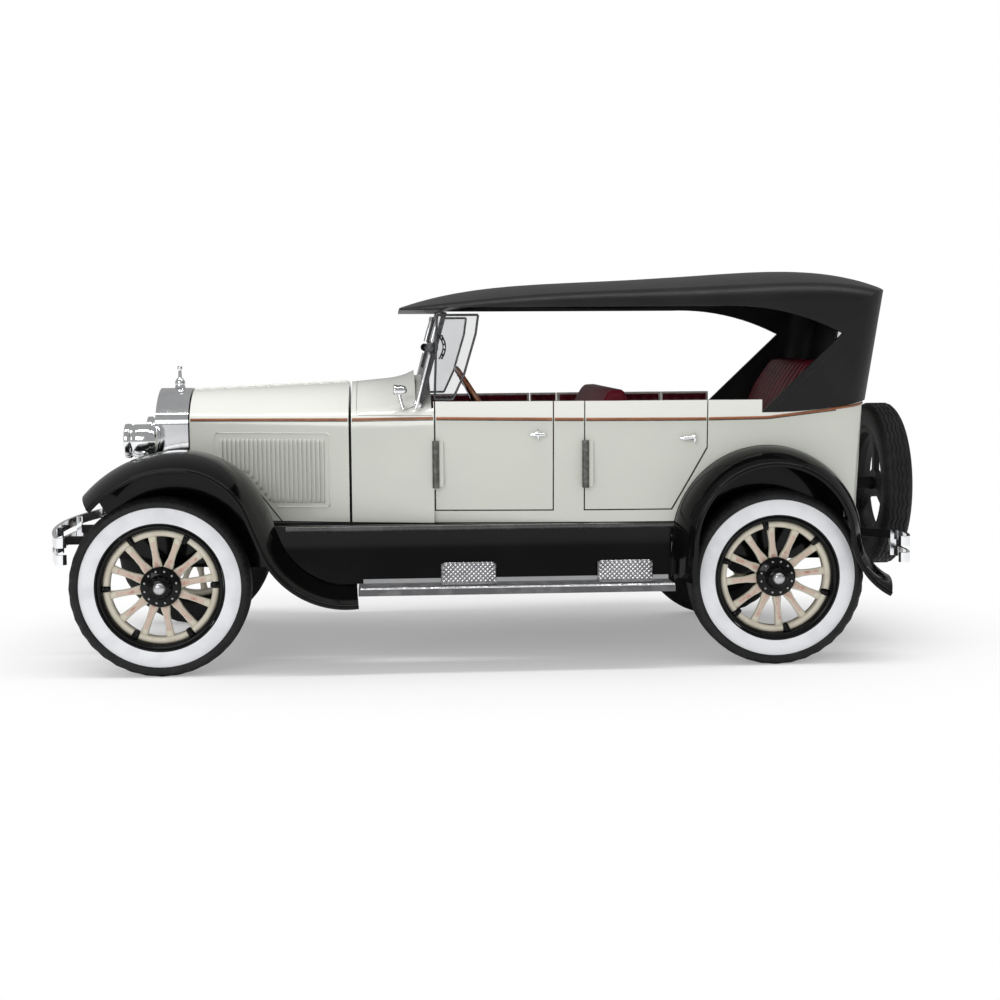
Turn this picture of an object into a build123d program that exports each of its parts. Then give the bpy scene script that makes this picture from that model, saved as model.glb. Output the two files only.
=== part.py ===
"""A 1:18 die-cast model of a 1920s touring car with its top up.

Millimetres at the model's own size. +X is forward, +Y is the car's left side, +Z is up.
The origin is under the middle of the model, on the surface that it stands on.
Places along the car are stations: millimetres behind the front axle.
"""
import os
from math import cos, radians, sin

from build123d import *

os.makedirs("parts", exist_ok=True)

# Overall layout
DRAWN_WHEELBASE = 161.5      # of the side view that the stations are read from
WHEELBASE = 161.5
TRACK = 79.0
BUMPER_REACH = 32.8          # front bumper face ahead of the front axle
SPARE_REACH = 43.2           # back of the spare tyre behind the rear axle
LENGTH = BUMPER_REACH + WHEELBASE + SPARE_REACH
FRONT_AXLE_X = LENGTH / 2 - BUMPER_REACH
RUN_GAP = 0.35               # shut line round a door or bonnet half
SEAT_GAP = 0.1               # between pieces that are assembled against each other
PIN_GAP = 0.15               # round a hinge pin or a stub axle

# Tyres and wheels
TYRE_R = 23.3
BEAD_R = 16.3
WALL_R = 20.8                # outer edge of the flat white band
TREAD_HALF = 2.7
TYRE_HALF = 3.9              # half the tyre's width at its shoulder
BAND_HALF = 3.35             # from the tyre's middle plane to the white band
RIM_HALF = 3.0
FELLOE_R = 13.2
HUB_R = 5.2
SPOKES = 12
SPOKE_THICK = 1.8
STUB_R = 1.0
STUB_REACH = 3.6             # stub axle outside the wheel's middle plane
KINGPIN_INSET = 6.6          # kingpin inboard of the wheel's middle plane
KINGPIN_R = 0.6
STEER_BOSS_R = 1.5

# Chassis
RAIL_Y = 13.0
RAIL_W = 2.2
RAIL_TOP = 36.0
RAIL_H = 3.6
FLOOR_TOP = 37.8
FLOOR_T = 1.2
SPRING_W = 2.4
SPRING_T = 1.5

# Body
SILL_Z = 38.0
BELT_Z = 70.2
BODY_WALL = 2.2
NOSE_STATION = 5.0           # front edge of the bonnet
BULKHEAD_STATION = 49.0      # back edge of the bonnet
COWL_END_STATION = 71.2
BODY_END_STATION = 187.0
BODY_CROWN = 2.2             # bow of the back panel
BODY_CORNER_R = 9.0
TUB_MID_STATION = 118.0
TUB_MID_HALF = 36.3
TUB_FRONT_HALF = TUB_MID_HALF - 4.3      # half width where the cowl ends
TUB_REAR_HALF = TUB_MID_HALF - 0.7
SILL_TUCK = 1.3              # the sides lean in by this at the sill
SHEET = 1.1                  # bonnet and cowl skin

# Doors, by their edges along the car
FRONT_DOOR = (71.7, 102.6)
REAR_DOOR = (111.2, 143.5)
DOOR_BOTTOM = 41.4
HINGE_R = 0.6
HINGE_LOW = 47.7
HINGE_HIGH = 59.6

# Fenders, aprons and running boards
FENDER_INNER_FRONT = 25.5
FENDER_INNER_REAR = 31.9
FENDER_OUTER = TRACK / 2 + 7.7
FENDER_T = 1.0
FENDER_DROP = 4.0            # outer edge below the crown line
BEAD_ROLL_R = 0.7
BOARD_TOP = 22.6
BOARD_T = 1.7
BOARD_STATIONS = (51.0, 133.4)

# Top
TOP_T = 1.3
TOP_SEAT = ((158.3, 66.9), (172.0, 67.4), (190.0, 70.2))     # its lower edge behind the doors


def x_at(station):
    """X of a station. A change of wheelbase stretches the span of the running boards only."""
    front, back = BOARD_STATIONS
    share = (min(max(station, front), back) - front) / (back - front)
    return FRONT_AXLE_X - station - share * (WHEELBASE - DRAWN_WHEELBASE)


REAR_AXLE_X = x_at(DRAWN_WHEELBASE)
AXLES = (("front", 0.0), ("rear", DRAWN_WHEELBASE))
SIDES = (("left", 1), ("right", -1))


def save(builder, name):
    """Label a finished piece and write it under its own name."""
    builder.part.label = name
    export_step(builder.part, f"parts/{name}.step")


def point(station, z):
    """A point of a side profile, for sketches on the XZ plane."""
    return (x_at(station), z)


def side_plane(y):
    """The plane of a side profile at distance y to the left; it extrudes towards the left."""
    return Plane(origin=(0, y, 0), x_dir=(1, 0, 0), z_dir=(0, -1, 0))


# Sections of bonnet and cowl: station, half width, shoulder height, crown height, shoulder radius
ARCHES = (
    (NOSE_STATION, 15.6, 65.6, 73.0, 4.0),
    (BULKHEAD_STATION, 27.2, 66.2, 74.9, 6.0),
    (COWL_END_STATION, TUB_FRONT_HALF, 67.2, 77.0, 7.0),
)


def arch(station, half, shoulder, crown, radius, inset=0.0, floor=SILL_Z):
    """One cross-section of the bonnet or cowl, shrunk by inset for the inside of its skin."""
    w = half - inset
    with BuildSketch(Plane(origin=(x_at(station), 0, 0), x_dir=(0, 1, 0), z_dir=(1, 0, 0))) as section:
        with BuildLine():
            Line((-w, floor), (-w, shoulder - inset))
            ThreePointArc((-w, shoulder - inset), (0, crown - inset), (w, shoulder - inset))
            Line((w, shoulder - inset), (w, floor))
            Line((w, floor), (-w, floor))
        make_face()
        shoulders = section.vertices().group_by(Axis.Y)[-1]
        fillet(shoulders, radius - inset)
    return section.sketch


def arch_between(lower, upper, station):
    """The row of the arch table that belongs to a station between two rows."""
    share = (station - lower[0]) / (upper[0] - lower[0])
    return tuple(a + (b - a) * share for a, b in zip(lower, upper))


def arch_solid(first, last, inset=0.0, floor=SILL_Z):
    """The space between two cross-sections."""
    with BuildPart() as space:
        for row in (first, last):
            add(arch(*row, inset=inset, floor=floor))
        loft()
    return space.part



# Body tub: plan outline, walls, floor and openings

def plan_outline(inset, tuck, z):
    """The tub's outline seen from above, shrunk by inset, leaning in by tuck at height z."""
    shrink = inset + tuck
    front_x, back_x = x_at(COWL_END_STATION), x_at(BODY_END_STATION) + shrink
    front_y, mid_y, rear_y = (half - shrink for half in (TUB_FRONT_HALF, TUB_MID_HALF, TUB_REAR_HALF))
    with BuildSketch(Plane.XY.offset(z)) as outline:
        with BuildLine():
            ThreePointArc((front_x, front_y), (x_at(TUB_MID_STATION), mid_y), (back_x, rear_y))
            ThreePointArc((back_x, rear_y), (back_x - BODY_CROWN, 0), (back_x, -rear_y))
            ThreePointArc((back_x, -rear_y), (x_at(TUB_MID_STATION), -mid_y), (front_x, -front_y))
            Line((front_x, -front_y), (front_x, front_y))
        make_face()
        corners = outline.vertices().group_by(Axis.X)[0]
        fillet(corners, BODY_CORNER_R - shrink)
    return outline.sketch


def tuck_at(z):
    """How far the tub's sides lean in at a height."""
    return SILL_TUCK * (BELT_Z - z) / (BELT_Z - SILL_Z)


def tub_solid(inset, low, high):
    """The space inside the tub's outline between two heights, its sides leaning out upwards."""
    with BuildPart() as space:
        for z in (low, high):
            add(plan_outline(inset, tuck_at(z), z))
        loft()
    return space.part


def door_outline(door, grow):
    """A door's outline in side view, grown by grow for the opening that it shuts."""
    front, back = x_at(door[0]) + grow, x_at(door[1]) - grow
    low, high = DOOR_BOTTOM - grow, BELT_Z + 1
    with BuildSketch(side_plane(0)) as outline:
        with BuildLine():
            if door is REAR_DOOR:
                bottom_end, corner_top = x_at(134.2) - grow, 57.8 - grow
                Polyline((front, high), (front, low), (bottom_end, low))
                ThreePointArc((bottom_end, low), (x_at(138.8) - grow, 49.4 - grow), (back, corner_top))
                Polyline((back, corner_top), (back, high), (front, high))
            else:
                Polyline((front, high), (front, low), (back, low), (back, high), (front, high))
        make_face()
    return outline.sketch


TUB_WALL = tub_solid(0, SILL_Z, BELT_Z) - tub_solid(BODY_WALL, SILL_Z - 1, BELT_Z + 1)
DOORS = (("front", FRONT_DOOR), ("rear", REAR_DOOR))


def half_width(station):
    """Half width of the tub at the belt, along the arc of its plan outline."""
    x1, y1 = x_at(COWL_END_STATION), TUB_FRONT_HALF
    x2, y2 = x_at(TUB_MID_STATION), TUB_MID_HALF
    x3, y3 = x_at(BODY_END_STATION), TUB_REAR_HALF
    d = 2 * (x1 * (y2 - y3) + x2 * (y3 - y1) + x3 * (y1 - y2))
    s1, s2, s3 = x1**2 + y1**2, x2**2 + y2**2, x3**2 + y3**2
    cx = (s1 * (y2 - y3) + s2 * (y3 - y1) + s3 * (y1 - y2)) / d
    cy = (s1 * (x3 - x2) + s2 * (x1 - x3) + s3 * (x2 - x1)) / d
    radius = ((x1 - cx) ** 2 + (y1 - cy) ** 2) ** 0.5
    return cy + (radius**2 - (x_at(station) - cx) ** 2) ** 0.5


HINGE_OUT = HINGE_R + 0.25   # hinge axis outside the body's skin


def hinge_place(door):
    """X and Y of a left door's hinge axis."""
    return x_at(door[0]), half_width(door[0]) + HINGE_OUT - tuck_at((HINGE_LOW + BELT_Z) / 2)


# Fender crown lines, from the tail of each to its front, as wires in side view
REAR_ARCH = ((134.6, 34.0), (158.5, 58.0), (185.0, 35.0))
REAR_TAIL = (193.0, 23.0)
REAR_LEG = 11.0
FRONT_FOOT = (50.5, BOARD_TOP)
FRONT_FLANK = ((30.3, 34.5), (26.5, 43.9))
FRONT_CREST = (5.0, 58.2)
FRONT_TIP = (-20.2, 46.8)


def crown_line(axle, plane=Plane.XZ):
    """The fender's crown line in side view, running forwards."""
    with BuildLine(plane) as line:
        if axle == "rear":
            low_front, top, low_back = (point(*place) for place in REAR_ARCH)
            hoop = ThreePointArc(low_back, top, low_front)
            Line(hoop @ 1, hoop @ 1 + (hoop % 1) * REAR_LEG)
            TangentArc(hoop @ 0, point(*REAR_TAIL), tangent=-(hoop % 0))
        else:
            crest = point(*FRONT_CREST)
            nose = TangentArc(crest, point(*FRONT_TIP), tangent=(1, 0))
            flank = TangentArc(crest, point(*FRONT_FLANK[1]), tangent=(-1, 0))
            run = Line(flank @ 1, point(*FRONT_FLANK[0]))
            TangentArc(run @ 1, point(*FRONT_FOOT), tangent=run % 1)
    return line.wire()


def fender(axle, inner_y):
    """One left fender: a crowned sheet along the crown line, with a rolled outer edge."""
    path = crown_line(axle)
    start = Plane(origin=path @ 0, x_dir=(0, 1, 0), z_dir=path % 0)
    crown_y = inner_y + (FENDER_OUTER - inner_y) * 0.35
    inner_drop, outer_drop = 0.8, FENDER_DROP
    with BuildPart() as piece:
        with BuildSketch(start):
            with BuildLine():
                top = ThreePointArc((inner_y, -inner_drop), (crown_y, 0), (FENDER_OUTER, -outer_drop))
                Line(top @ 1, top @ 1 - (0, FENDER_T))
                ThreePointArc(top @ 1 - (0, FENDER_T), (crown_y, -FENDER_T), top @ 0 - (0, FENDER_T))
                Line(top @ 0 - (0, FENDER_T), top @ 0)
            make_face()
            with Locations((FENDER_OUTER - BEAD_ROLL_R / 2, -outer_drop - BEAD_ROLL_R / 2)):
                Circle(BEAD_ROLL_R)
        sweep(path=path)
    return piece.part


def both_sides(name, left):
    """Write a piece of the left side and its mirror image on the right."""
    with BuildPart() as left_piece:
        add(left)
    save(left_piece, f"{name}_left")
    with BuildPart() as right_piece:
        add(mirror(left, about=Plane.XZ))
    save(right_piece, f"{name}_right")


FRONT_FENDER = fender("front", FENDER_INNER_FRONT)
REAR_FENDER = fender("rear", FENDER_INNER_REAR)
both_sides("front_fender", FRONT_FENDER)
both_sides("rear_fender", REAR_FENDER)


def wheel_arch(inner_y, outer_y, grow):
    """The space that a rear fender and its wheel take out of the tub."""
    low_front, top, low_back = (point(*place) for place in REAR_ARCH)
    with BuildPart() as space:
        with BuildSketch(side_plane(inner_y)):
            with BuildLine():
                hoop = ThreePointArc(low_back, top, low_front)
                Polyline(hoop @ 1, (low_front[0], 0), (low_back[0], 0), hoop @ 0)
            make_face()
            offset(amount=grow)
        extrude(amount=-(outer_y - inner_y))
    return space.part


def cowl_rows():
    """The two rows of the arch table that the cowl runs between."""
    return ARCHES[1], ARCHES[2]


# The lower front corner of each bonnet side is fixed, so that the bonnet swings up past the fender
BONNET_CORNER = ((NOSE_STATION - 1.0, SILL_Z - 2.0), (NOSE_STATION - 1.0, 50.5), (20.0, 50.5), (31.6, SILL_Z - 2.0))


def bonnet_skin():
    """Both sides of the bonnet in one piece, before it is parted."""
    front_row = arch_between(ARCHES[0], ARCHES[1], NOSE_STATION + RUN_GAP)
    back_row = arch_between(ARCHES[0], ARCHES[1], BULKHEAD_STATION - RUN_GAP)
    return arch_solid(front_row, back_row) - arch_solid(*ARCHES[:2], inset=SHEET, floor=SILL_Z - 1)


def corner_space(grow):
    """The space of the fixed corners of the bonnet's sides."""
    with BuildPart() as space:
        with BuildSketch(side_plane(-TRACK / 2)):
            with BuildLine():
                Polyline(*(point(*place) for place in BONNET_CORNER), close=True)
            make_face()
            offset(amount=grow)
        extrude(amount=-TRACK)
    return space.part


BONNET_SKIN = bonnet_skin()

# Body shell: cowl, firewall, hollow tub with its openings, and the bonnet's fixed corners
with BuildPart() as body_shell:
    front_row, back_row = cowl_rows()
    bonnet_seam = arch_between(front_row, back_row, BULKHEAD_STATION + RUN_GAP)
    add(arch_solid(bonnet_seam, back_row))
    after_firewall = arch_between(front_row, back_row, BULKHEAD_STATION + RUN_GAP + SHEET)
    past_end = (back_row[0] + 0.01,) + back_row[1:]
    add(arch_solid(after_firewall, past_end, inset=SHEET, floor=SILL_Z - 1), mode=Mode.SUBTRACT)
    add(TUB_WALL)
    with BuildSketch(side_plane(-TUB_MID_HALF - 3)):
        add(door_outline(FRONT_DOOR, RUN_GAP))
        add(door_outline(REAR_DOOR, RUN_GAP))
    extrude(amount=-2 * TUB_MID_HALF - 6, mode=Mode.SUBTRACT)
    with BuildSketch(Plane.YZ.offset(x_at(COWL_END_STATION) - BODY_WALL - 0.5)):
        with Locations((0, (SILL_Z + BELT_Z) / 2)):
            Rectangle(2 * (TUB_FRONT_HALF - BODY_WALL), 2 * BELT_Z)
    extrude(amount=BODY_WALL + 1.0, mode=Mode.SUBTRACT)
    with BuildSketch(side_plane(-TUB_MID_HALF - 3)):
        with BuildLine():
            ThreePointArc(*(point(station, z - SEAT_GAP) for station, z in TOP_SEAT))
            Polyline(point(TOP_SEAT[-1][0], TOP_SEAT[-1][1] - SEAT_GAP), point(TOP_SEAT[-1][0], 90.0),
                     point(TOP_SEAT[0][0], 90.0), point(TOP_SEAT[0][0], TOP_SEAT[0][1] - SEAT_GAP))
        make_face()
    extrude(amount=-2 * TUB_MID_HALF - 6, mode=Mode.SUBTRACT)
    for _, side in SIDES:
        arch_cut = wheel_arch(FENDER_INNER_REAR - 0.2, FENDER_OUTER, SEAT_GAP)
        add(arch_cut if side == 1 else mirror(arch_cut, about=Plane.XZ), mode=Mode.SUBTRACT)
    add(BONNET_SKIN & corner_space(0))
save(body_shell, "body_shell")


def door_panel(door):
    """One left door: its share of the tub's wall, with the hinge strip on its front edge."""
    axis_x, axis_y = hinge_place(door)
    with BuildPart() as panel:
        with BuildSketch(side_plane(0)):
            add(door_outline(door, 0))
        extrude(amount=-2 * TUB_MID_HALF)
        add(TUB_WALL, mode=Mode.INTERSECT)
        with BuildSketch(Plane.XY.offset(HINGE_LOW)):
            with Locations((axis_x, axis_y)):
                Circle(HINGE_R)
        extrude(amount=HINGE_HIGH - HINGE_LOW)
        with BuildSketch(Plane.XY.offset(HINGE_LOW)):
            with Locations((axis_x - 1.0, axis_y - 0.45)):
                Rectangle(2.0, 1.0)
        extrude(amount=HINGE_HIGH - HINGE_LOW)
    return panel.part


DOOR_PANELS = {name: door_panel(door) for name, door in DOORS}
for name, panel in DOOR_PANELS.items():
    both_sides(f"{name}_door", panel)


# Bonnet halves and the rod that they hinge on

HINGE_ROD_R = 0.45
BONNET_EDGE_Y = HINGE_ROD_R + 0.2
NOSE_CROWN = ARCHES[0][3]
BULKHEAD_CROWN = ARCHES[1][3]

with BuildPart() as bonnet:
    add(BONNET_SKIN - corner_space(RUN_GAP))
    with BuildSketch(Plane.XZ.offset(-BONNET_EDGE_Y)):
        with Locations((x_at(BULKHEAD_STATION / 2), NOSE_CROWN)):
            Rectangle(2 * LENGTH, LENGTH)
    extrude(amount=LENGTH, mode=Mode.SUBTRACT)
both_sides("bonnet", bonnet.part)

with BuildPart() as bonnet_rod:
    rod_start = Vector(x_at(NOSE_STATION) , 0, NOSE_CROWN)
    rod_end = Vector(x_at(BULKHEAD_STATION), 0, BULKHEAD_CROWN)
    rod_line = rod_end - rod_start
    with BuildSketch(Plane(origin=rod_start, z_dir=rod_line)):
        Circle(HINGE_ROD_R)
    extrude(amount=rod_line.length)
save(bonnet_rod, "bonnet_rod")

# Radiator: chrome shell, dark core and filler cap

RADIATOR_FACE_STATION = -3.8
SHELL_RIM = 2.6
SHELL_GROW = 0.5
CORE_SET_BACK = 1.0


def radiator_arch(station, inset):
    """The radiator's cross-section at a station, slightly larger than the bonnet's nose."""
    _, half, shoulder, crown, radius = ARCHES[0]
    grown = (station, half + SHELL_GROW, shoulder, crown + SHELL_GROW, radius + SHELL_GROW)
    return arch(*grown, inset=inset)


with BuildPart() as radiator_shell:
    for station in (NOSE_STATION, RADIATOR_FACE_STATION):
        add(radiator_arch(station, 0))
    loft()
    for station in (NOSE_STATION + 1, RADIATOR_FACE_STATION - 1):
        add(radiator_arch(station, SHELL_RIM))
    loft(mode=Mode.SUBTRACT)
    with BuildSketch(Plane.XY.offset(SILL_Z)):
        with Locations((x_at((NOSE_STATION + RADIATOR_FACE_STATION) / 2), 0)):
            Rectangle(NOSE_STATION - RADIATOR_FACE_STATION, 2 * ARCHES[0][1])
    extrude(amount=SHELL_RIM)
save(radiator_shell, "radiator_shell")

with BuildPart() as radiator_core:
    for station in (NOSE_STATION - 0.5, RADIATOR_FACE_STATION + CORE_SET_BACK):
        core_arch = radiator_arch(station, SHELL_RIM + 0.05)
        add(core_arch)
    loft()
    with BuildSketch(Plane.XY.offset(SILL_Z - 1)):
        with Locations((x_at(0), 0)):
            Rectangle(WHEELBASE, TRACK)
    extrude(amount=1 + SHELL_RIM + 0.05, mode=Mode.SUBTRACT)
save(radiator_core, "radiator_core")

CAP_STATION = 1.2
CAP_TOP = 79.8
with BuildPart() as radiator_cap:
    with BuildSketch(Plane(origin=(x_at(CAP_STATION), 0, 0), x_dir=(1, 0, 0), z_dir=(0, -1, 0))):
        with BuildLine():
            base = NOSE_CROWN + SHELL_GROW + 0.02
            foot = Line((0, base), (1.5, base))
            flare = Line(foot @ 1, (1.3, base + 0.6))
            ball = ThreePointArc(flare @ 1, (1.25, base + 2.0), (0.5, base + 2.9))
            stem = Line(ball @ 1, (0.45, CAP_TOP - 1.6))
            finial = ThreePointArc(stem @ 1, (0.7, CAP_TOP - 0.9), (0.35, CAP_TOP))
            Polyline(finial @ 1, (0, CAP_TOP), (0, base))
        make_face()
    revolve(axis=Axis((x_at(CAP_STATION), 0, 0), (0, 0, 1)))
save(radiator_cap, "radiator_cap")

# Headlamps on their bar, and cowl lamps

LAMP_STATION = -10.9         # front of the lamp's rim
LAMP_Y = 21.0
LAMP_Z = 60.0
LAMP_R = 4.6
LAMP_LEN = 9.0
LENS_T = 0.5
LAMP_BAR_R = 0.9

with BuildPart() as headlamps:
    for _, side in SIDES:
        with BuildSketch(Plane(origin=(x_at(LAMP_STATION), side * LAMP_Y, LAMP_Z), z_dir=(-1, 0, 0))):
            Circle(LAMP_R)
        extrude(amount=LAMP_LEN)
    rims = headlamps.edges().filter_by(GeomType.CIRCLE).group_by(Axis.X)
    fillet(rims[0], 2.2)
    for _, side in SIDES:
        with BuildSketch(Plane(origin=(x_at(LAMP_STATION), side * LAMP_Y, LAMP_Z), z_dir=(-1, 0, 0))):
            Circle(LAMP_R - 0.6)
        extrude(amount=1.2, mode=Mode.SUBTRACT)
    bar_x = x_at(LAMP_STATION + LAMP_LEN * 0.55)
    with BuildSketch(Plane.XZ.offset(-FENDER_INNER_FRONT - 1.0)):
        with Locations((bar_x, LAMP_Z - LAMP_R - LAMP_BAR_R * 0.6)):
            Circle(LAMP_BAR_R)
    extrude(amount=2 * (FENDER_INNER_FRONT + 1.0))
    add(FRONT_FENDER, mode=Mode.SUBTRACT)
    add(mirror(FRONT_FENDER, about=Plane.XZ), mode=Mode.SUBTRACT)
save(headlamps, "headlamps")

with BuildPart() as headlamp_lenses:
    for _, side in SIDES:
        with BuildSketch(Plane(origin=(x_at(LAMP_STATION + 0.2), side * LAMP_Y, LAMP_Z), z_dir=(-1, 0, 0))):
            Circle(LAMP_R - 0.65)
        extrude(amount=LENS_T)
save(headlamp_lenses, "headlamp_lenses")

COWL_LAMP_STATION = 62.5
COWL_LAMP_Z = 73.2
COWL_LAMP_Y = 29.5
COWL_LAMP_R = 1.5
with BuildPart() as cowl_lamps:
    for _, side in SIDES:
        with BuildSketch(Plane(origin=(x_at(COWL_LAMP_STATION - 1.8), side * COWL_LAMP_Y, COWL_LAMP_Z),
                               z_dir=(-1, 0, 0))):
            Circle(COWL_LAMP_R)
        extrude(amount=3.6)
        with BuildSketch(Plane(origin=(x_at(COWL_LAMP_STATION), side * (COWL_LAMP_Y - 1.2), COWL_LAMP_Z - 1.0),
                               z_dir=(0, side * 0.35, -1))):
            Circle(0.55)
        extrude(amount=5.2)
    add(arch_solid(*cowl_rows(), inset=-SEAT_GAP / 2), mode=Mode.SUBTRACT)
save(cowl_lamps, "cowl_lamps")


# Chassis frame: two rails with dumb irons, and cross members

RAIL_TOP_LINE = ((-18.0, 30.5), (-12.0, 33.5), (-2.0, RAIL_TOP), (138.0, RAIL_TOP), (150.0, 36.6), (188.0, 34.5))
CROSS_STATIONS = (-1.0, 47.0, 100.0, 148.0, 186.0)
MOUNT_STATIONS = (30.0, 130.0)
MOUNT_R = 1.5
MOUNT_DEPTH = 6.0
MOUNT_PAD = 9.0

with BuildPart() as chassis_frame:
    for _, side in SIDES:
        with BuildSketch(side_plane(side * RAIL_Y - RAIL_W / 2)):
            with BuildLine():
                top = [point(station, z) for station, z in RAIL_TOP_LINE]
                bottom = [(x, z - RAIL_H) for x, z in reversed(top)]
                Polyline(*top, *bottom, close=True)
            make_face()
        extrude(amount=-RAIL_W)
    for station in CROSS_STATIONS:
        with BuildSketch(Plane.XY.offset(RAIL_TOP - RAIL_H + 0.4)):
            with Locations((x_at(station), 0)):
                Rectangle(3.0, 2 * RAIL_Y)
        extrude(amount=RAIL_H - 1.0)
    for station in MOUNT_STATIONS:
        with BuildSketch(Plane.XY.offset(RAIL_TOP - MOUNT_DEPTH)):
            with Locations((x_at(station), 0)):
                Rectangle(MOUNT_PAD, 2 * RAIL_Y)
                Circle(MOUNT_R, mode=Mode.SUBTRACT)
        extrude(amount=MOUNT_DEPTH)
save(chassis_frame, "chassis_frame")

# Leaf springs: one bow over the front axle and one over the rear axle on each side

SPRINGS = (
    # eye in front, middle and eye behind, as station and height of the spring's top
    ((-15.0, 29.0), (0.0, 26.6), (22.0, 31.4)),
    ((136.0, 31.4), (DRAWN_WHEELBASE, 28.4), (184.0, 30.0)),
)
with BuildPart() as leaf_springs:
    for _, side in SIDES:
        for eye, middle, shackle in SPRINGS:
            with BuildSketch(side_plane(side * RAIL_Y - SPRING_W / 2)):
                with BuildLine():
                    bow = ThreePointArc(point(*eye), point(*middle), point(*shackle))
                    Line(bow @ 1, bow @ 1 - (0, SPRING_T))
                    ThreePointArc(bow @ 1 - (0, SPRING_T), bow @ 0.5 - (0, SPRING_T), bow @ 0 - (0, SPRING_T))
                    Line(bow @ 0 - (0, SPRING_T), bow @ 0)
                make_face()
            extrude(amount=-SPRING_W)
            for place in (eye, shackle):
                low = place[1] - SPRING_T / 2
                with BuildSketch(side_plane(side * RAIL_Y - SPRING_W / 2)):
                    with Locations(point(place[0], (low + RAIL_TOP - RAIL_H) / 2)):
                        Rectangle(1.6, RAIL_TOP - RAIL_H - low)
                extrude(amount=-SPRING_W)
    add(chassis_frame.part, mode=Mode.SUBTRACT)
save(leaf_springs, "leaf_springs")

# Front axle, knuckles and rear axle

AXLE_Z = TYRE_R
AXLE_H = 2.6
KINGPIN_Y = TRACK / 2 - KINGPIN_INSET
FORK_T = 1.2
BOSS_H = 3.2
FORK_GAP = 0.1

with BuildPart() as front_axle:
    with BuildSketch(Plane.YZ.offset(x_at(0) - AXLE_H / 2)):
        with Locations((0, AXLE_Z)):
            Rectangle(2 * (KINGPIN_Y - STEER_BOSS_R - 0.6), AXLE_H)
    extrude(amount=AXLE_H)
    for _, side in SIDES:
        with BuildSketch(Plane.YZ.offset(x_at(0) - SPRING_W / 2)):
            with Locations((side * RAIL_Y, AXLE_Z + 1.3)):
                Rectangle(SPRING_W + 1.0, 2.2)
        extrude(amount=SPRING_W)
        inner = KINGPIN_Y - STEER_BOSS_R - 2.4
        for low in (AXLE_Z - BOSS_H / 2 - FORK_GAP - FORK_T, AXLE_Z + BOSS_H / 2 + FORK_GAP):
            with BuildSketch(Plane.XY.offset(low)):
                with Locations((x_at(0), side * KINGPIN_Y)):
                    Circle(STEER_BOSS_R)
                with Locations((x_at(0), side * (inner + KINGPIN_Y) / 2)):
                    Rectangle(2 * STEER_BOSS_R, KINGPIN_Y - inner)
            extrude(amount=FORK_T)
        with BuildSketch(Plane.XY.offset(AXLE_Z - BOSS_H / 2 - FORK_GAP - FORK_T)):
            with Locations((x_at(0), side * (inner + 0.7))):
                Rectangle(2 * STEER_BOSS_R, 1.4)
        extrude(amount=BOSS_H + 2 * (FORK_GAP + FORK_T))
        with BuildSketch(Plane.XY.offset(AXLE_Z - BOSS_H / 2 - FORK_GAP - FORK_T)):
            with Locations((x_at(0), side * KINGPIN_Y)):
                Circle(KINGPIN_R)
        extrude(amount=BOSS_H + 2 * (FORK_GAP + FORK_T))
    add(leaf_springs.part, mode=Mode.SUBTRACT)
save(front_axle, "front_axle")

with BuildPart() as knuckle:
    with BuildSketch(Plane.XY.offset(AXLE_Z - BOSS_H / 2)):
        with Locations((x_at(0), KINGPIN_Y)):
            Circle(STEER_BOSS_R)
    extrude(amount=BOSS_H)
    with BuildSketch(Plane.XZ.offset(-KINGPIN_Y)):
        with Locations((x_at(0), AXLE_Z)):
            Circle(STUB_R)
    extrude(amount=-(TRACK / 2 + STUB_REACH - KINGPIN_Y))
    with BuildSketch(Plane.XZ.offset(-(KINGPIN_Y + STEER_BOSS_R - 0.3))):
        with Locations((x_at(0), AXLE_Z)):
            Circle(STEER_BOSS_R)
    extrude(amount=-0.9)
    with BuildSketch(Plane.XY.offset(AXLE_Z - BOSS_H / 2)):
        with Locations((x_at(0), KINGPIN_Y)):
            Circle(KINGPIN_R + PIN_GAP / 2)
    extrude(amount=BOSS_H, mode=Mode.SUBTRACT)
both_sides("knuckle", knuckle.part)

AXLE_TUBE_R = 1.9
DIFF_R = 5.2
with BuildPart() as rear_axle:
    with BuildSketch(Plane.XZ.offset(-(TRACK / 2 - RIM_HALF - 1.0))):
        with Locations((REAR_AXLE_X, AXLE_Z)):
            Circle(AXLE_TUBE_R)
    extrude(amount=2 * (TRACK / 2 - RIM_HALF - 1.0))
    with BuildSketch(Plane.XZ.offset(-(TRACK / 2 + STUB_REACH))):
        with Locations((REAR_AXLE_X, AXLE_Z)):
            Circle(STUB_R)
    extrude(amount=2 * (TRACK / 2 + STUB_REACH))
    with Locations((REAR_AXLE_X, 0, AXLE_Z)):
        Sphere(DIFF_R)
    for _, side in SIDES:
        with BuildSketch(side_plane(side * RAIL_Y - SPRING_W / 2)):
            with Locations((REAR_AXLE_X, AXLE_Z + 1.9)):
                Rectangle(3.4, 3.8)
        extrude(amount=-SPRING_W)
    add(leaf_springs.part, mode=Mode.SUBTRACT)
save(rear_axle, "rear_axle")


# Wheels and tyres

HUB_CAP_R = 2.0
HUB_CAP_OUT = 5.6            # hub cap's end outside the wheel's middle plane
RIM_LIP = 1.3


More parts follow.
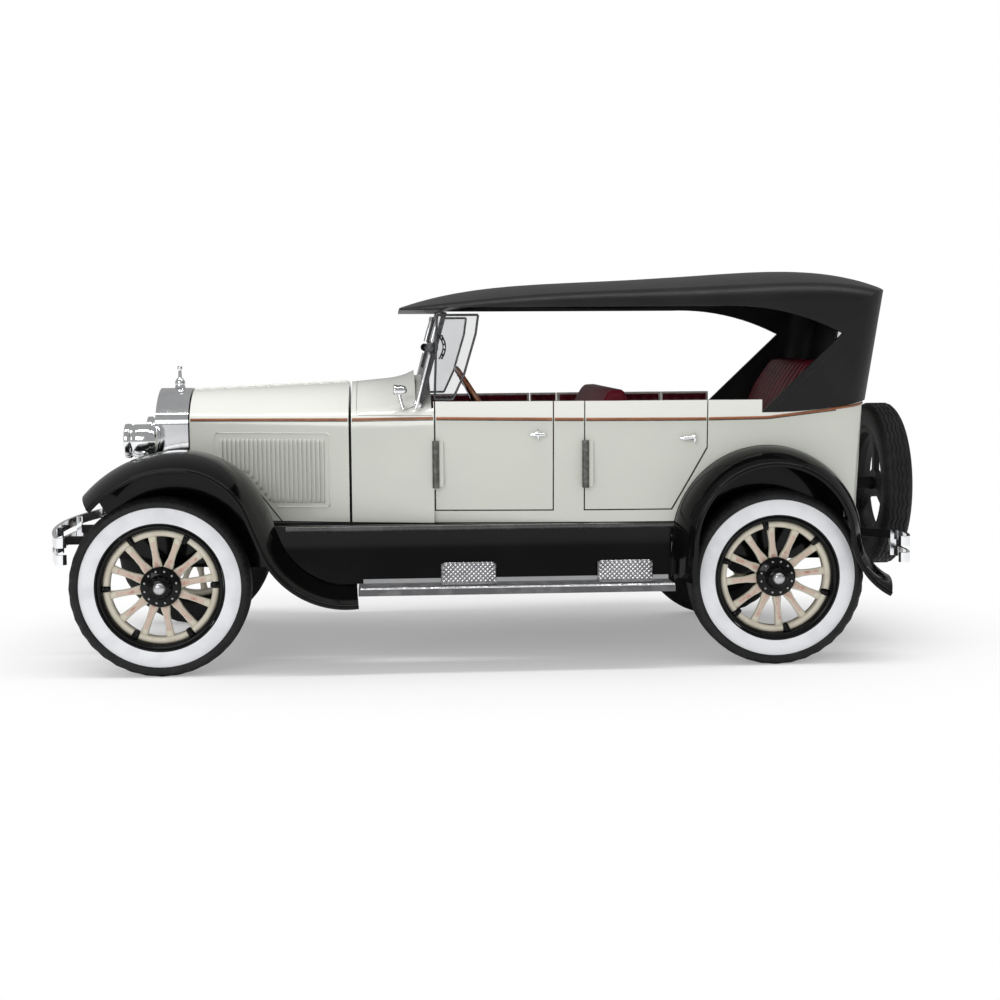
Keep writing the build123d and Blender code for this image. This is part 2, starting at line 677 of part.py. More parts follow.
def wheel_solid(y):
    """A wood-spoked wheel round a stub axle, its middle plane at y, facing left."""
    centre = Plane(origin=(0, y, AXLE_Z), x_dir=(1, 0, 0), z_dir=(0, -1, 0))
    with BuildPart() as wheel:
        with BuildSketch(Plane.XY):
            with BuildLine():
                Polyline((FELLOE_R, -1.6), (BEAD_R - SEAT_GAP - RIM_LIP, -1.6),
                         (BEAD_R - SEAT_GAP - RIM_LIP, -RIM_HALF), (BEAD_R - SEAT_GAP, -RIM_HALF),
                         (BEAD_R - SEAT_GAP, RIM_HALF), (BEAD_R - SEAT_GAP - RIM_LIP, RIM_HALF),
                         (BEAD_R - SEAT_GAP - RIM_LIP, 1.6), (FELLOE_R, 1.6), close=True)
            make_face()
            with BuildLine():
                Polyline((STUB_R + PIN_GAP / 2, -3.4), (3.2, -3.4), (3.2, -1.9), (HUB_R, -1.9), (HUB_R, 2.0),
                         (HUB_CAP_R, 2.4), (HUB_CAP_R, HUB_CAP_OUT - 0.6), (HUB_CAP_R - 0.6, HUB_CAP_OUT),
                         (0, HUB_CAP_OUT), (0, STUB_REACH + 0.4), (STUB_R + PIN_GAP / 2, STUB_REACH + 0.4),
                         close=True)
            make_face()
        revolve(axis=Axis.Y)
        with BuildSketch(Plane.XZ.offset(SPOKE_THICK / 2)):
            with PolarLocations(0, SPOKES):
                Polygon((HUB_R - 0.4, -0.85), (FELLOE_R - 2.4, -1.0), (FELLOE_R + 0.3, -1.55),
                        (FELLOE_R + 0.3, 1.55), (FELLOE_R - 2.4, 1.0), (HUB_R - 0.4, 0.85), align=None)
        extrude(amount=-SPOKE_THICK)
    return wheel.part.moved(Location((0, y, AXLE_Z)))


with BuildPart() as tyre_ring:
    with BuildSketch(Plane.XY):
        with BuildLine():
            inner_side = Line((BEAD_R, BAND_HALF - 0.3), (BEAD_R, -BAND_HALF + 0.3))
            back = Line(inner_side @ 1, (BEAD_R + 0.4, -BAND_HALF))
            bulge = ThreePointArc(back @ 1, (WALL_R - 0.4, -TYRE_HALF), (TYRE_R - 0.5, -TREAD_HALF - 0.4))
            low_edge = Line(bulge @ 1, (TYRE_R, -TREAD_HALF + 0.3))
            tread = Line(low_edge @ 1, (TYRE_R, TREAD_HALF - 0.3))
            high_edge = Line(tread @ 1, (TYRE_R - 0.5, TREAD_HALF + 0.4))
            shoulder = ThreePointArc(high_edge @ 1, (WALL_R + 1.2, TYRE_HALF - 0.2), (WALL_R + 0.2, TYRE_HALF))
            step = Line(shoulder @ 1, (WALL_R, BAND_HALF))
            band = Line(step @ 1, (BEAD_R + 0.4, BAND_HALF))
            Line(band @ 1, inner_side @ 0)
        make_face()
    revolve(axis=Axis.Y)

for axle, station in AXLES:
    with BuildPart() as wheel:
        add(wheel_solid(TRACK / 2).moved(Location((x_at(station), 0, 0))))
    both_sides(f"{axle}_wheel", wheel.part)
    with BuildPart() as tyre:
        add(tyre_ring.part.moved(Location((x_at(station), TRACK / 2, AXLE_Z))))
    both_sides(f"{axle}_tyre", tyre.part)


# Floor pan, splash aprons, running boards and step plates

FLOOR_REAR_HALF = FENDER_INNER_REAR - 1.2
HOOD_LEDGE_HALF = FENDER_INNER_FRONT - 0.3
with BuildPart() as floor_pan:
    with BuildSketch(Plane.XY.offset(FLOOR_TOP - FLOOR_T)):
        with BuildLine():
            ledge_front, ledge_back = x_at(-4.0), x_at(COWL_END_STATION)
            wide_end, narrow_end = x_at(133.0), x_at(BODY_END_STATION - 3.0)
            wide = TUB_FRONT_HALF - BODY_WALL - 0.8
            outline = ((ledge_front, HOOD_LEDGE_HALF), (x_at(30.0), HOOD_LEDGE_HALF), (ledge_back, wide),
                       (wide_end, wide), (wide_end, FLOOR_REAR_HALF), (narrow_end, FLOOR_REAR_HALF))
            Polyline(*outline, *((x, -y) for x, y in reversed(outline)), close=True)
        make_face()
    extrude(amount=FLOOR_T)
    for piece in (chassis_frame, radiator_shell, radiator_core):
        add(piece.part, mode=Mode.SUBTRACT)
save(floor_pan, "floor_pan")

APRON_TOP_Y = TUB_MID_HALF - SILL_TUCK - 0.1
APRON_FOOT_Y = APRON_TOP_Y + 1.7
APRON_T = 1.0
APRON_TOP_Z = SILL_Z - SEAT_GAP
with BuildPart() as splash_apron:
    apron_back, apron_front = x_at(139.0), x_at(28.0)
    with BuildSketch(Plane.YZ.offset(apron_back)):
        with BuildLine():
            face = ThreePointArc((APRON_TOP_Y, APRON_TOP_Z), (APRON_TOP_Y + 0.2, 29.0), (APRON_FOOT_Y, BOARD_TOP))
            Line(face @ 1, face @ 1 - (APRON_T, 0))
            ThreePointArc(face @ 1 - (APRON_T, 0), face @ 0.5 - (APRON_T, 0), face @ 0 - (APRON_T, 0))
            Line(face @ 0 - (APRON_T, 0), face @ 0)
        make_face()
    extrude(amount=apron_front - apron_back)
    with BuildSketch(side_plane(APRON_TOP_Y - 3 * APRON_T)):
        with BuildLine():
            add(crown_line("front", Plane.XY))
            top_front, top_back = point(FRONT_TIP[0], FRONT_TIP[1]), point(*FRONT_FOOT)
            Polyline(top_back, point(FRONT_FOOT[0], 0), point(FRONT_TIP[0], 0), top_front)
        make_face()
        offset(amount=SEAT_GAP)
    extrude(amount=-20, mode=Mode.SUBTRACT)
    arch_cut = wheel_arch(APRON_TOP_Y - 3 * APRON_T, FENDER_OUTER, SEAT_GAP)
    add(arch_cut, mode=Mode.SUBTRACT)
    add(REAR_FENDER, mode=Mode.SUBTRACT)
both_sides("splash_apron", splash_apron.part)

with BuildPart() as running_board:
    with BuildSketch(Plane.XY.offset(BOARD_TOP - BOARD_T)):
        with BuildLine():
            board_front, board_back = (x_at(station) for station in BOARD_STATIONS)
            inner, outer = APRON_FOOT_Y + SEAT_GAP, FENDER_OUTER
            Polyline((board_front, inner), (board_front, outer), (board_back, outer), (board_back, inner),
                     close=True)
        make_face()
    extrude(amount=BOARD_T)
both_sides("running_board", running_board.part)

STEP_PLATES = (
    # middle station and length
    (79.9, 14.6),
    (121.6, 14.8),
)
STEP_UP = 5.4
STEP_OUT = 7.0
STEP_T = 0.9
with BuildPart() as step_plates:
    for _, side in SIDES:
        for middle, length in STEP_PLATES:
            with BuildSketch(Plane.YZ.offset(x_at(middle) - length / 2)):
                with BuildLine():
                    foot_y, low = APRON_FOOT_Y + SEAT_GAP + 0.2, BOARD_TOP + SEAT_GAP / 2
                    ys_zs = ((foot_y, low), (foot_y + STEP_OUT, low), (foot_y + STEP_OUT, low + STEP_T),
                             (foot_y + STEP_T + 0.4, low + STEP_T), (foot_y + STEP_T, low + STEP_UP),
                             (foot_y, low + STEP_UP))
                    Polyline(*((side * y, z) for y, z in ys_zs), close=True)
                make_face()
            extrude(amount=length)
save(step_plates, "step_plates")

# Bumpers: a bowed pair of bars in front, a short pair on each side of the spare wheel behind

BAR_H = 2.6
BAR_T = 0.9
BAR_PITCH = 4.4
BAR_CURL = 2.2
FRONT_BUMPER_Z = 32.6
FRONT_BUMPER_HALF = 38.0
FRONT_BUMPER_BOW = 5.5
REAR_BUMPER_Z = 30.2
REAR_BUMPER_INNER = 25.0
REAR_BUMPER_OUTER = 42.0
REAR_BUMPER_STATION = 199.0
BRACKET_Y = 14.0


with BuildPart() as front_bumper:
    front_x = LENGTH / 2 - BAR_T / 2
    end_x = front_x - FRONT_BUMPER_BOW
    for level in (FRONT_BUMPER_Z - BAR_PITCH / 2, FRONT_BUMPER_Z + BAR_PITCH / 2):
        with BuildSketch(Plane.XY.offset(level - BAR_H / 2)):
            with BuildLine():
                bow = ThreePointArc((end_x, FRONT_BUMPER_HALF), (front_x, 0), (end_x, -FRONT_BUMPER_HALF))
                TangentArc(bow @ 0, (end_x - BAR_CURL, FRONT_BUMPER_HALF), tangent=-(bow % 0))
                TangentArc(bow @ 1, (end_x - BAR_CURL, -FRONT_BUMPER_HALF), tangent=bow % 1)
            trace(line_width=BAR_T)
        extrude(amount=BAR_H)
    for _, side in SIDES:
        with BuildSketch(Plane.XY.offset(FRONT_BUMPER_Z - BAR_PITCH / 2 - BAR_H / 2)):
            with Locations((front_x - 1.9, side * BRACKET_Y)):
                Rectangle(1.4, 2.0)
        extrude(amount=BAR_PITCH + BAR_H)
save(front_bumper, "front_bumper")

with BuildPart() as rear_bumpers:
    bar_x = x_at(REAR_BUMPER_STATION)
    for _, side in SIDES:
        for level in (REAR_BUMPER_Z - BAR_PITCH / 2, REAR_BUMPER_Z + BAR_PITCH / 2):
            with BuildSketch(Plane.XY.offset(level - BAR_H / 2)):
                with BuildLine():
                    bow = ThreePointArc((bar_x + 1.2, side * REAR_BUMPER_INNER), (bar_x, side * 33.0),
                                        (bar_x + 1.6, side * (REAR_BUMPER_OUTER - 1.5)))
                    TangentArc(bow @ 1, (bar_x + 1.6 + BAR_CURL, side * (REAR_BUMPER_OUTER - 1.5)),
                               tangent=bow % 1)
                trace(line_width=BAR_T)
            extrude(amount=BAR_H)
        with BuildSketch(Plane.XY.offset(REAR_BUMPER_Z - BAR_PITCH / 2 - BAR_H / 2)):
            with Locations((bar_x + 1.3, side * (REAR_BUMPER_INNER + 1.2))):
                Rectangle(1.6, 1.6)
        extrude(amount=BAR_PITCH + BAR_H)
save(rear_bumpers, "rear_bumpers")

# Bumper irons from the frame rails
with BuildPart() as bumper_irons:
    for _, side in SIDES:
        iron_back, iron_front = x_at(-17.0), LENGTH / 2 - BAR_T - 1.8 - SEAT_GAP
        with BuildSketch(Plane.XY.offset(FRONT_BUMPER_Z - 1.2)):
            with Locations(((iron_back + iron_front) / 2, side * BRACKET_Y)):
                Rectangle(iron_front - iron_back, 1.4)
        extrude(amount=2.2)
        iron_front, iron_back = x_at(185.0), x_at(REAR_BUMPER_STATION) + 2.1 + SEAT_GAP
        with BuildSketch(Plane.XY.offset(REAR_BUMPER_Z + 1.2)):
            with BuildLine():
                near, far = side * (RAIL_Y + 0.4), side * (REAR_BUMPER_INNER + 1.2)
                Polyline((iron_front, near - 0.8), (iron_front, near + 0.8), (iron_back, far + 0.8),
                         (iron_back, far - 0.8), close=True)
            make_face()
        extrude(amount=2.2)
    for piece in (chassis_frame, front_bumper, rear_bumpers):
        add(piece.part, mode=Mode.SUBTRACT)
save(bumper_irons, "bumper_irons")

# Spare wheel: tyre on a bare rim, held on a three-armed carrier

SPARE_Z = 44.3
SPARE_X = -LENGTH / 2 + TYRE_HALF
SPARE_FACING = Location((SPARE_X, 0, SPARE_Z), (0, 0, 90))
with BuildPart() as spare_tyre:
    add(tyre_ring.part.moved(SPARE_FACING))
save(spare_tyre, "spare_tyre")
with BuildPart() as spare_rim:
    with BuildSketch(Plane.XY):
        with BuildLine():
            Polyline((BEAD_R - 2.2, -1.0), (BEAD_R - 1.4, -RIM_HALF), (BEAD_R - SEAT_GAP, -RIM_HALF),
                     (BEAD_R - SEAT_GAP, RIM_HALF), (BEAD_R - 1.4, RIM_HALF), (BEAD_R - 2.2, 1.0), close=True)
        make_face()
    revolve(axis=Axis.Y)
with BuildPart() as placed_spare_rim:
    add(spare_rim.part.moved(SPARE_FACING))
save(placed_spare_rim, "spare_rim")

CARRIER_ARM = BEAD_R - 2.2 - SEAT_GAP
with BuildPart() as spare_carrier:
    carrier_plane = Plane(origin=(SPARE_X - 0.8, 0, SPARE_Z), x_dir=(0, 1, 0), z_dir=(1, 0, 0))
    with BuildSketch(carrier_plane):
        Circle(4.0)
        with PolarLocations(CARRIER_ARM / 2, 3, 90):
            Rectangle(CARRIER_ARM - 0.3, 2.2)
    extrude(amount=1.6)
    with BuildSketch(carrier_plane):
        Circle(1.8)
    back_panel_x = x_at(BODY_END_STATION) + tuck_at(SPARE_Z) - BODY_CROWN
    extrude(amount=back_panel_x - SEAT_GAP - SPARE_X + 0.8)
save(spare_carrier, "spare_carrier")

# Engine block, seats, dash and steering

with BuildPart() as engine_block:
    with Locations((x_at(26.0), 0, FLOOR_TOP + SEAT_GAP + 11.0)):
        Box(34.0, 11.0, 22.0)
save(engine_block, "engine_block")

SEATS = {
    # side profile as station and height, then half width
    "front_seat": (((93.5, 38.2), (92.5, 52.0), (95.5, 53.4), (108.5, 50.5), (114.5, 66.0), (118.5, 72.8),
                    (122.5, 73.0), (124.5, 68.0), (122.0, 38.2)), 29.2),
    "rear_seat": (((145.0, 38.2), (144.0, 53.0), (147.0, 54.4), (163.0, 51.5), (171.0, 72.0), (176.5, 80.0),
                   (180.5, 80.5), (183.0, 74.0), (182.0, 38.2)), 30.2),
}
for name, (profile, half) in SEATS.items():
    with BuildPart() as seat:
        with BuildSketch(side_plane(-half)):
            with BuildLine():
                Polyline(*(point(*place) for place in profile), close=True)
            make_face()
        extrude(amount=-2 * half)
    save(seat, name)

STEER_WHEEL_STATION = 84.5
STEER_WHEEL_Z = 68.5
STEER_Y = 15.0
STEER_R = 12.0
STEER_TILT = 32.0
STEER_RIM_R = 0.75
COLUMN_R = 0.8
steer_axis = Vector(cos(radians(STEER_TILT)), 0, -sin(radians(STEER_TILT)))
steer_plane = Plane(origin=(x_at(STEER_WHEEL_STATION), STEER_Y, STEER_WHEEL_Z), x_dir=(0, 1, 0),
                    z_dir=-steer_axis)
with BuildPart() as steering_wheel:
    with BuildSketch(Plane(origin=steer_plane.origin, x_dir=steer_plane.x_dir, z_dir=steer_plane.y_dir)):
        with Locations((STEER_R, 0)):
            Circle(STEER_RIM_R)
    revolve(axis=Axis(steer_plane.origin, steer_plane.z_dir))
    with BuildSketch(steer_plane.offset(-0.5)):
        with PolarLocations(STEER_R / 2, 4, 45):
            Rectangle(STEER_R - 0.4, 1.1)
    extrude(amount=1.0)
    with BuildSketch(steer_plane.offset(-2.0)):
        Circle(1.9)
    extrude(amount=3.2)
save(steering_wheel, "steering_wheel")

COLUMN_LEN = 36.0
with BuildPart() as steering_column:
    with BuildSketch(steer_plane.offset(-2.0 - SEAT_GAP)):
        Circle(COLUMN_R)
    extrude(amount=-COLUMN_LEN)
save(steering_column, "steering_column")

DASH_STATION = COWL_END_STATION - 2.4
DASH_T = 1.2
with BuildPart() as dashboard:
    row = arch_between(*cowl_rows(), DASH_STATION)
    back = arch_between(*cowl_rows(), DASH_STATION + DASH_T)
    add(arch_solid(row, back, inset=SHEET + SEAT_GAP, floor=58.0))
    with BuildSketch(steer_plane.offset(-COLUMN_LEN)):
        Circle(COLUMN_R + SEAT_GAP)
    extrude(amount=COLUMN_LEN, mode=Mode.SUBTRACT)
save(dashboard, "dashboard")

# Windscreen: a two-pane frame that seats on the cowl, with a wind wing on each side

SCREEN_STATION = 65.8
SCREEN_FOOT_Z = 66.0
SCREEN_RAKE = 15.5
SCREEN_HALF = 29.0
SCREEN_TOP_Z = 94.1
SCREEN_BAR = 1.7
SCREEN_T = 1.6
SCREEN_SILL_Z = 78.6
PANE_SPLIT_Z = 85.2
PANE_T = 0.5
rake = radians(SCREEN_RAKE)
screen_plane = Plane(origin=(x_at(SCREEN_STATION), 0, SCREEN_FOOT_Z), x_dir=(0, 1, 0),
                     z_dir=(cos(rake), 0, sin(rake)))


def up_screen(z):
    """Distance up the raked windscreen to a height."""
    return (z - SCREEN_FOOT_Z) / cos(rake)


def pane(low, high, inset):
    """A rectangle between two heights of the windscreen, inset from the frame's outside."""
    with Locations((0, (up_screen(low) + up_screen(high)) / 2)):
        Rectangle(2 * (SCREEN_HALF - inset), up_screen(high) - up_screen(low))


PANES = ((SCREEN_SILL_Z, PANE_SPLIT_Z - 0.5), (PANE_SPLIT_Z + 0.5, SCREEN_TOP_Z - SCREEN_BAR))
with BuildPart() as windscreen_frame:
    with BuildSketch(screen_plane):
        pane(SCREEN_FOOT_Z, SCREEN_TOP_Z, 0)
    extrude(amount=-SCREEN_T)
    with BuildSketch(screen_plane.offset(1)):
        for low, high in PANES:
            with Locations((0, (up_screen(low) + up_screen(high)) / 2)):
                Rectangle(2 * (SCREEN_HALF - SCREEN_BAR), up_screen(high) - up_screen(low))
    extrude(amount=-SCREEN_T - 2, mode=Mode.SUBTRACT)
    cowl_front = arch_between(*cowl_rows(), BULKHEAD_STATION + 5)
    cowl_back = arch_between(*cowl_rows(), COWL_END_STATION + 6)
    add(arch_solid(cowl_front, cowl_back, inset=-SEAT_GAP, floor=50.0), mode=Mode.SUBTRACT)
save(windscreen_frame, "windscreen_frame")

with BuildPart() as windscreen_panes:
    with BuildSketch(screen_plane.offset(-(SCREEN_T - PANE_T) / 2)):
        for low, high in PANES:
            with Locations((0, (up_screen(low) + up_screen(high)) / 2)):
                Rectangle(2 * (SCREEN_HALF - SCREEN_BAR - 0.05), up_screen(high) - up_screen(low) - 0.1)
    extrude(amount=-PANE_T)
save(windscreen_panes, "windscreen_panes")

WING_T = 0.6
WING_OUTLINE = ((71.6, 70.8), (72.4, 93.0), (83.3, 93.0), (82.6, 88.0), (79.4, 77.2), (76.4, 70.8))
with BuildPart() as wind_wings:
    for _, side in SIDES:
        with BuildSketch(side_plane(side * (SCREEN_HALF + 2.0) - WING_T / 2)) as wing:
            with BuildLine():
                Polyline(*(point(*place) for place in WING_OUTLINE), close=True)
            make_face()
        extrude(amount=-WING_T)
save(wind_wings, "wind_wings")

# Stanchions outside the screen, down to the cowl, with the clamps that hold the wings
with BuildPart() as screen_stanchions:
    for _, side in SIDES:
        with BuildSketch(side_plane(side * (SCREEN_HALF + 0.85) - 0.7)):
            with BuildLine():
                foot, head = (64.6, 68.6), (70.7, 86.0)
                Polyline(point(foot[0] - 0.9, foot[1]), point(head[0] - 0.9, head[1]),
                         point(head[0] + 0.9, head[1]), point(foot[0] + 0.9, foot[1]), close=True)
            make_face()
        extrude(amount=-1.4)
        for z in (75.0, 85.0):
            with BuildSketch(side_plane(side * (SCREEN_HALF + 1.9) - 0.8)):
                with Locations(point(70.4 if z > 80 else 67.4, z)):
                    Rectangle(5.4, 1.0)
            extrude(amount=-1.6)
    add(arch_solid(*cowl_rows(), inset=-SEAT_GAP), mode=Mode.SUBTRACT)
    add(windscreen_frame.part, mode=Mode.SUBTRACT)
    add(wind_wings.part, mode=Mode.SUBTRACT)
save(screen_stanchions, "screen_stanchions")

# Top: one moulded shell, crowned above, closed behind, open at the sides

TOP_ARCHES = (
    # station, half width, shoulder height, crown height, shoulder radius
    (62.8, 31.4, 94.8, 95.4, 0.5),
    (75.0, 32.8, 95.8, 98.8, 2.5),
    (118.0, 36.1, 98.6, 102.6, 4.0),
    (155.0, 36.8, 99.8, 104.7, 5.0),
    (185.0, 36.4, 99.4, 104.1, 5.0),
    (196.0, 35.6, 96.5, 101.0, 5.0),
)
TOP_BACK = ((66.0, 187.0), (106.0, 193.3))
TOP_CUT_FRONT = ((60.0, 94.3), (74.0, 94.3), (76.0, 95.0), (147.0, 95.0))
TOP_CUT_BEND = ((165.0, 93.2), (180.0, 87.6))
TOP_CUT_FOOT = (158.3, 66.9)


def top_plan(inset, back, z):
    """The top's outline seen from above at one height, with rounded rear corners."""
    front_x, back_x = x_at(60.0) + inset, x_at(back) + inset
    with BuildSketch(Plane.XY.offset(z)) as outline:
        with BuildLine():
            half = TUB_MID_HALF + 1.0 - inset
            rear = TUB_REAR_HALF + 0.6 - inset
            Polyline((back_x, -rear), (x_at(150.0), -half), (front_x, -half), (front_x, half),
                     (x_at(150.0), half), (back_x, rear))
            ThreePointArc((back_x, rear), (back_x - BODY_CROWN, 0), (back_x, -rear))
        make_face()
        corners = outline.vertices().group_by(Axis.X)[0]
        fillet(corners, BODY_CORNER_R - inset)
    return outline.sketch


def top_crown(inset, first_row):
    """The top's long form, arch by arch from its front edge to its back."""
    with BuildPart() as crown:
        for row in TOP_ARCHES[first_row:]:
            add(arch(*row, inset=min(inset, row[4] - 0.2), floor=60.0))
        loft()
    return crown.part


def top_solid(inset, first_row):
    """The top's outer form, or the space inside it."""
    with BuildPart() as form:
        for z, back in TOP_BACK:
            add(top_plan(inset, back, z))
        loft()
        add(top_crown(inset, first_row), mode=Mode.INTERSECT)
    return form.part


REAR_WINDOW = (10.5, 82.0, 91.0)     # half width, low edge, high edge
WINDOW_CUT = x_at(BODY_END_STATION - 17.0) + LENGTH / 2
with BuildPart() as moulded_top:
    add(top_solid(0, 0))
    add(top_solid(TOP_T, 1), mode=Mode.SUBTRACT)
    with BuildSketch(side_plane(-TUB_MID_HALF - 3)):
        with BuildLine():
            Polyline(*(point(*place) for place in TOP_CUT_FRONT))
            ThreePointArc(*(point(*place) for place in (TOP_CUT_FRONT[-1],) + TOP_CUT_BEND))
            Polyline(point(*TOP_CUT_BEND[-1]), point(*TOP_CUT_FOOT), point(TOP_CUT_FOOT[0], SILL_Z),
                     point(TOP_CUT_FRONT[0][0], SILL_Z), point(*TOP_CUT_FRONT[0]))
        make_face()
        with BuildLine():
            ThreePointArc(*(point(*place) for place in TOP_SEAT))
            behind, below = BODY_END_STATION + 13.0, SILL_Z
            Polyline(point(*TOP_SEAT[-1]), point(behind, TOP_SEAT[-1][1]), point(behind, below),
                     point(TOP_SEAT[0][0], below), point(*TOP_SEAT[0]))
        make_face()
    extrude(amount=-2 * TUB_MID_HALF - 6, mode=Mode.SUBTRACT)
    with BuildSketch(Plane.YZ.offset(-LENGTH / 2)):
        with Locations((0, (REAR_WINDOW[1] + REAR_WINDOW[2]) / 2)):
            RectangleRounded(2 * REAR_WINDOW[0], REAR_WINDOW[2] - REAR_WINDOW[1], 2.0)
    extrude(amount=WINDOW_CUT, mode=Mode.SUBTRACT)
save(moulded_top, "moulded_top")

with BuildPart() as rear_window:
    with BuildSketch(Plane.YZ.offset(-LENGTH / 2)):
        with Locations((0, (REAR_WINDOW[1] + REAR_WINDOW[2]) / 2)):
            RectangleRounded(2 * REAR_WINDOW[0] - 0.1, REAR_WINDOW[2] - REAR_WINDOW[1] - 0.1, 1.95)
    extrude(amount=WINDOW_CUT)
    add(top_solid(0.4, 1), mode=Mode.INTERSECT)
    add(top_solid(0.9, 1), mode=Mode.SUBTRACT)
save(rear_window, "rear_window")

# Door handles: a bar on a short stem
HANDLES = {"front": (99.0, 61.3), "rear": (138.6, 60.4)}
HANDLE_LEN = 4.6
HANDLE_R = 0.5
HANDLE_OUT = 1.5
for name, (station, z) in HANDLES.items():
    skin_y = half_width(station) - tuck_at(z)
    with BuildPart() as handle:
        with BuildSketch(Plane.XZ.offset(-(skin_y - 0.3))):
            with Locations((x_at(station), z)):
                Circle(0.8)
        extrude(amount=-(HANDLE_OUT + 0.3))
        with BuildSketch(Plane.YZ.offset(x_at(station) - HANDLE_LEN / 2)):
            with Locations((skin_y + HANDLE_OUT, z)):
                Circle(HANDLE_R)
        extrude(amount=HANDLE_LEN)
        add(TUB_WALL, mode=Mode.SUBTRACT)
    both_sides(f"{name}_door_handle", handle.part)
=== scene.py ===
import math
import random

import bpy
from mathutils import Matrix, Vector
from mathutils.bvhtree import BVHTree


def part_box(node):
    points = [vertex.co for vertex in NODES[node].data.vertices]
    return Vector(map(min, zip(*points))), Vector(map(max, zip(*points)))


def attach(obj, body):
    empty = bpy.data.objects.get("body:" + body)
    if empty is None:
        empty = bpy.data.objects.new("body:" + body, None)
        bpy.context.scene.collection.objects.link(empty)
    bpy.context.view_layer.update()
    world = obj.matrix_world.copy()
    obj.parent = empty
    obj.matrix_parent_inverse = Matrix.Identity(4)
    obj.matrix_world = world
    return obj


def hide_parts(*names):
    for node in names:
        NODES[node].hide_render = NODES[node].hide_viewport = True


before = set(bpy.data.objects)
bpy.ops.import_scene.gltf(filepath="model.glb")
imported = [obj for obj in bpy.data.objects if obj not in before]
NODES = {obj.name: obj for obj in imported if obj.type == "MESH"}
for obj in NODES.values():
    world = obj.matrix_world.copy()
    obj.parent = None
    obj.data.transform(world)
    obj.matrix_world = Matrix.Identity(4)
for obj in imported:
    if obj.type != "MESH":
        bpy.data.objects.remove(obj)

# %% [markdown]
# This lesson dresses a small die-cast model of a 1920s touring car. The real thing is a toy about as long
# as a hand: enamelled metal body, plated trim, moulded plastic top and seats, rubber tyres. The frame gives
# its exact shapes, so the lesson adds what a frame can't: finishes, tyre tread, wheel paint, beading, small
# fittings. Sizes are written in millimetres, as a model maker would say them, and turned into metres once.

MM = 0.001
random.seed(19)
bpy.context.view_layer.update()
FRONT_AXLE_X, AXLE_Z, TRACK_HALF = 85.95, 23.3, 39.5
AXLE_STATIONS = {"front": 0.0, "rear": 161.5}
SIDES = (("left", 1), ("right", -1))


# %% Places along the car are stations: millimetres behind the front axle
def at(station):
    """X in millimetres of a station."""
    return FRONT_AXLE_X - station


print("rear axle at x =", at(AXLE_STATIONS["rear"]))


# %% [markdown]
# Every piece is made the same way: a shape's points and faces go into a mesh, the mesh gets its finishes, and
# the object is told which part of the frame it rides on. One helper keeps those three steps together, and
# notes how many faces it made.

# %% A helper that makes one piece from a shape
MADE = {}


def piece(name, shape, finishes, body, smooth=True):
    """One object from a shape in millimetres; each face wears the finish that its number names."""
    mesh = bpy.data.meshes.new(name)
    mesh.from_pydata([Vector(p) * MM for p in shape.points], [], shape.faces)
    for worn in finishes:
        mesh.materials.append(worn)
    mesh.polygons.foreach_set("material_index", shape.finish_of)
    mesh.polygons.foreach_set("use_smooth", [smooth] * len(shape.faces))
    mesh.validate()
    mesh.update()
    made = bpy.data.objects.new(name, mesh)
    bpy.context.collection.objects.link(made)
    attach(made, body)
    MADE[name] = len(shape.faces)
    return made


print("piece helper ready")


# %% Turned forms, and forms drawn along a path, are the two shapes that most fittings need
def circle(count):
    """Evenly spaced turns of a full circle, in radians."""
    return [2 * math.pi * i / count for i in range(count)]


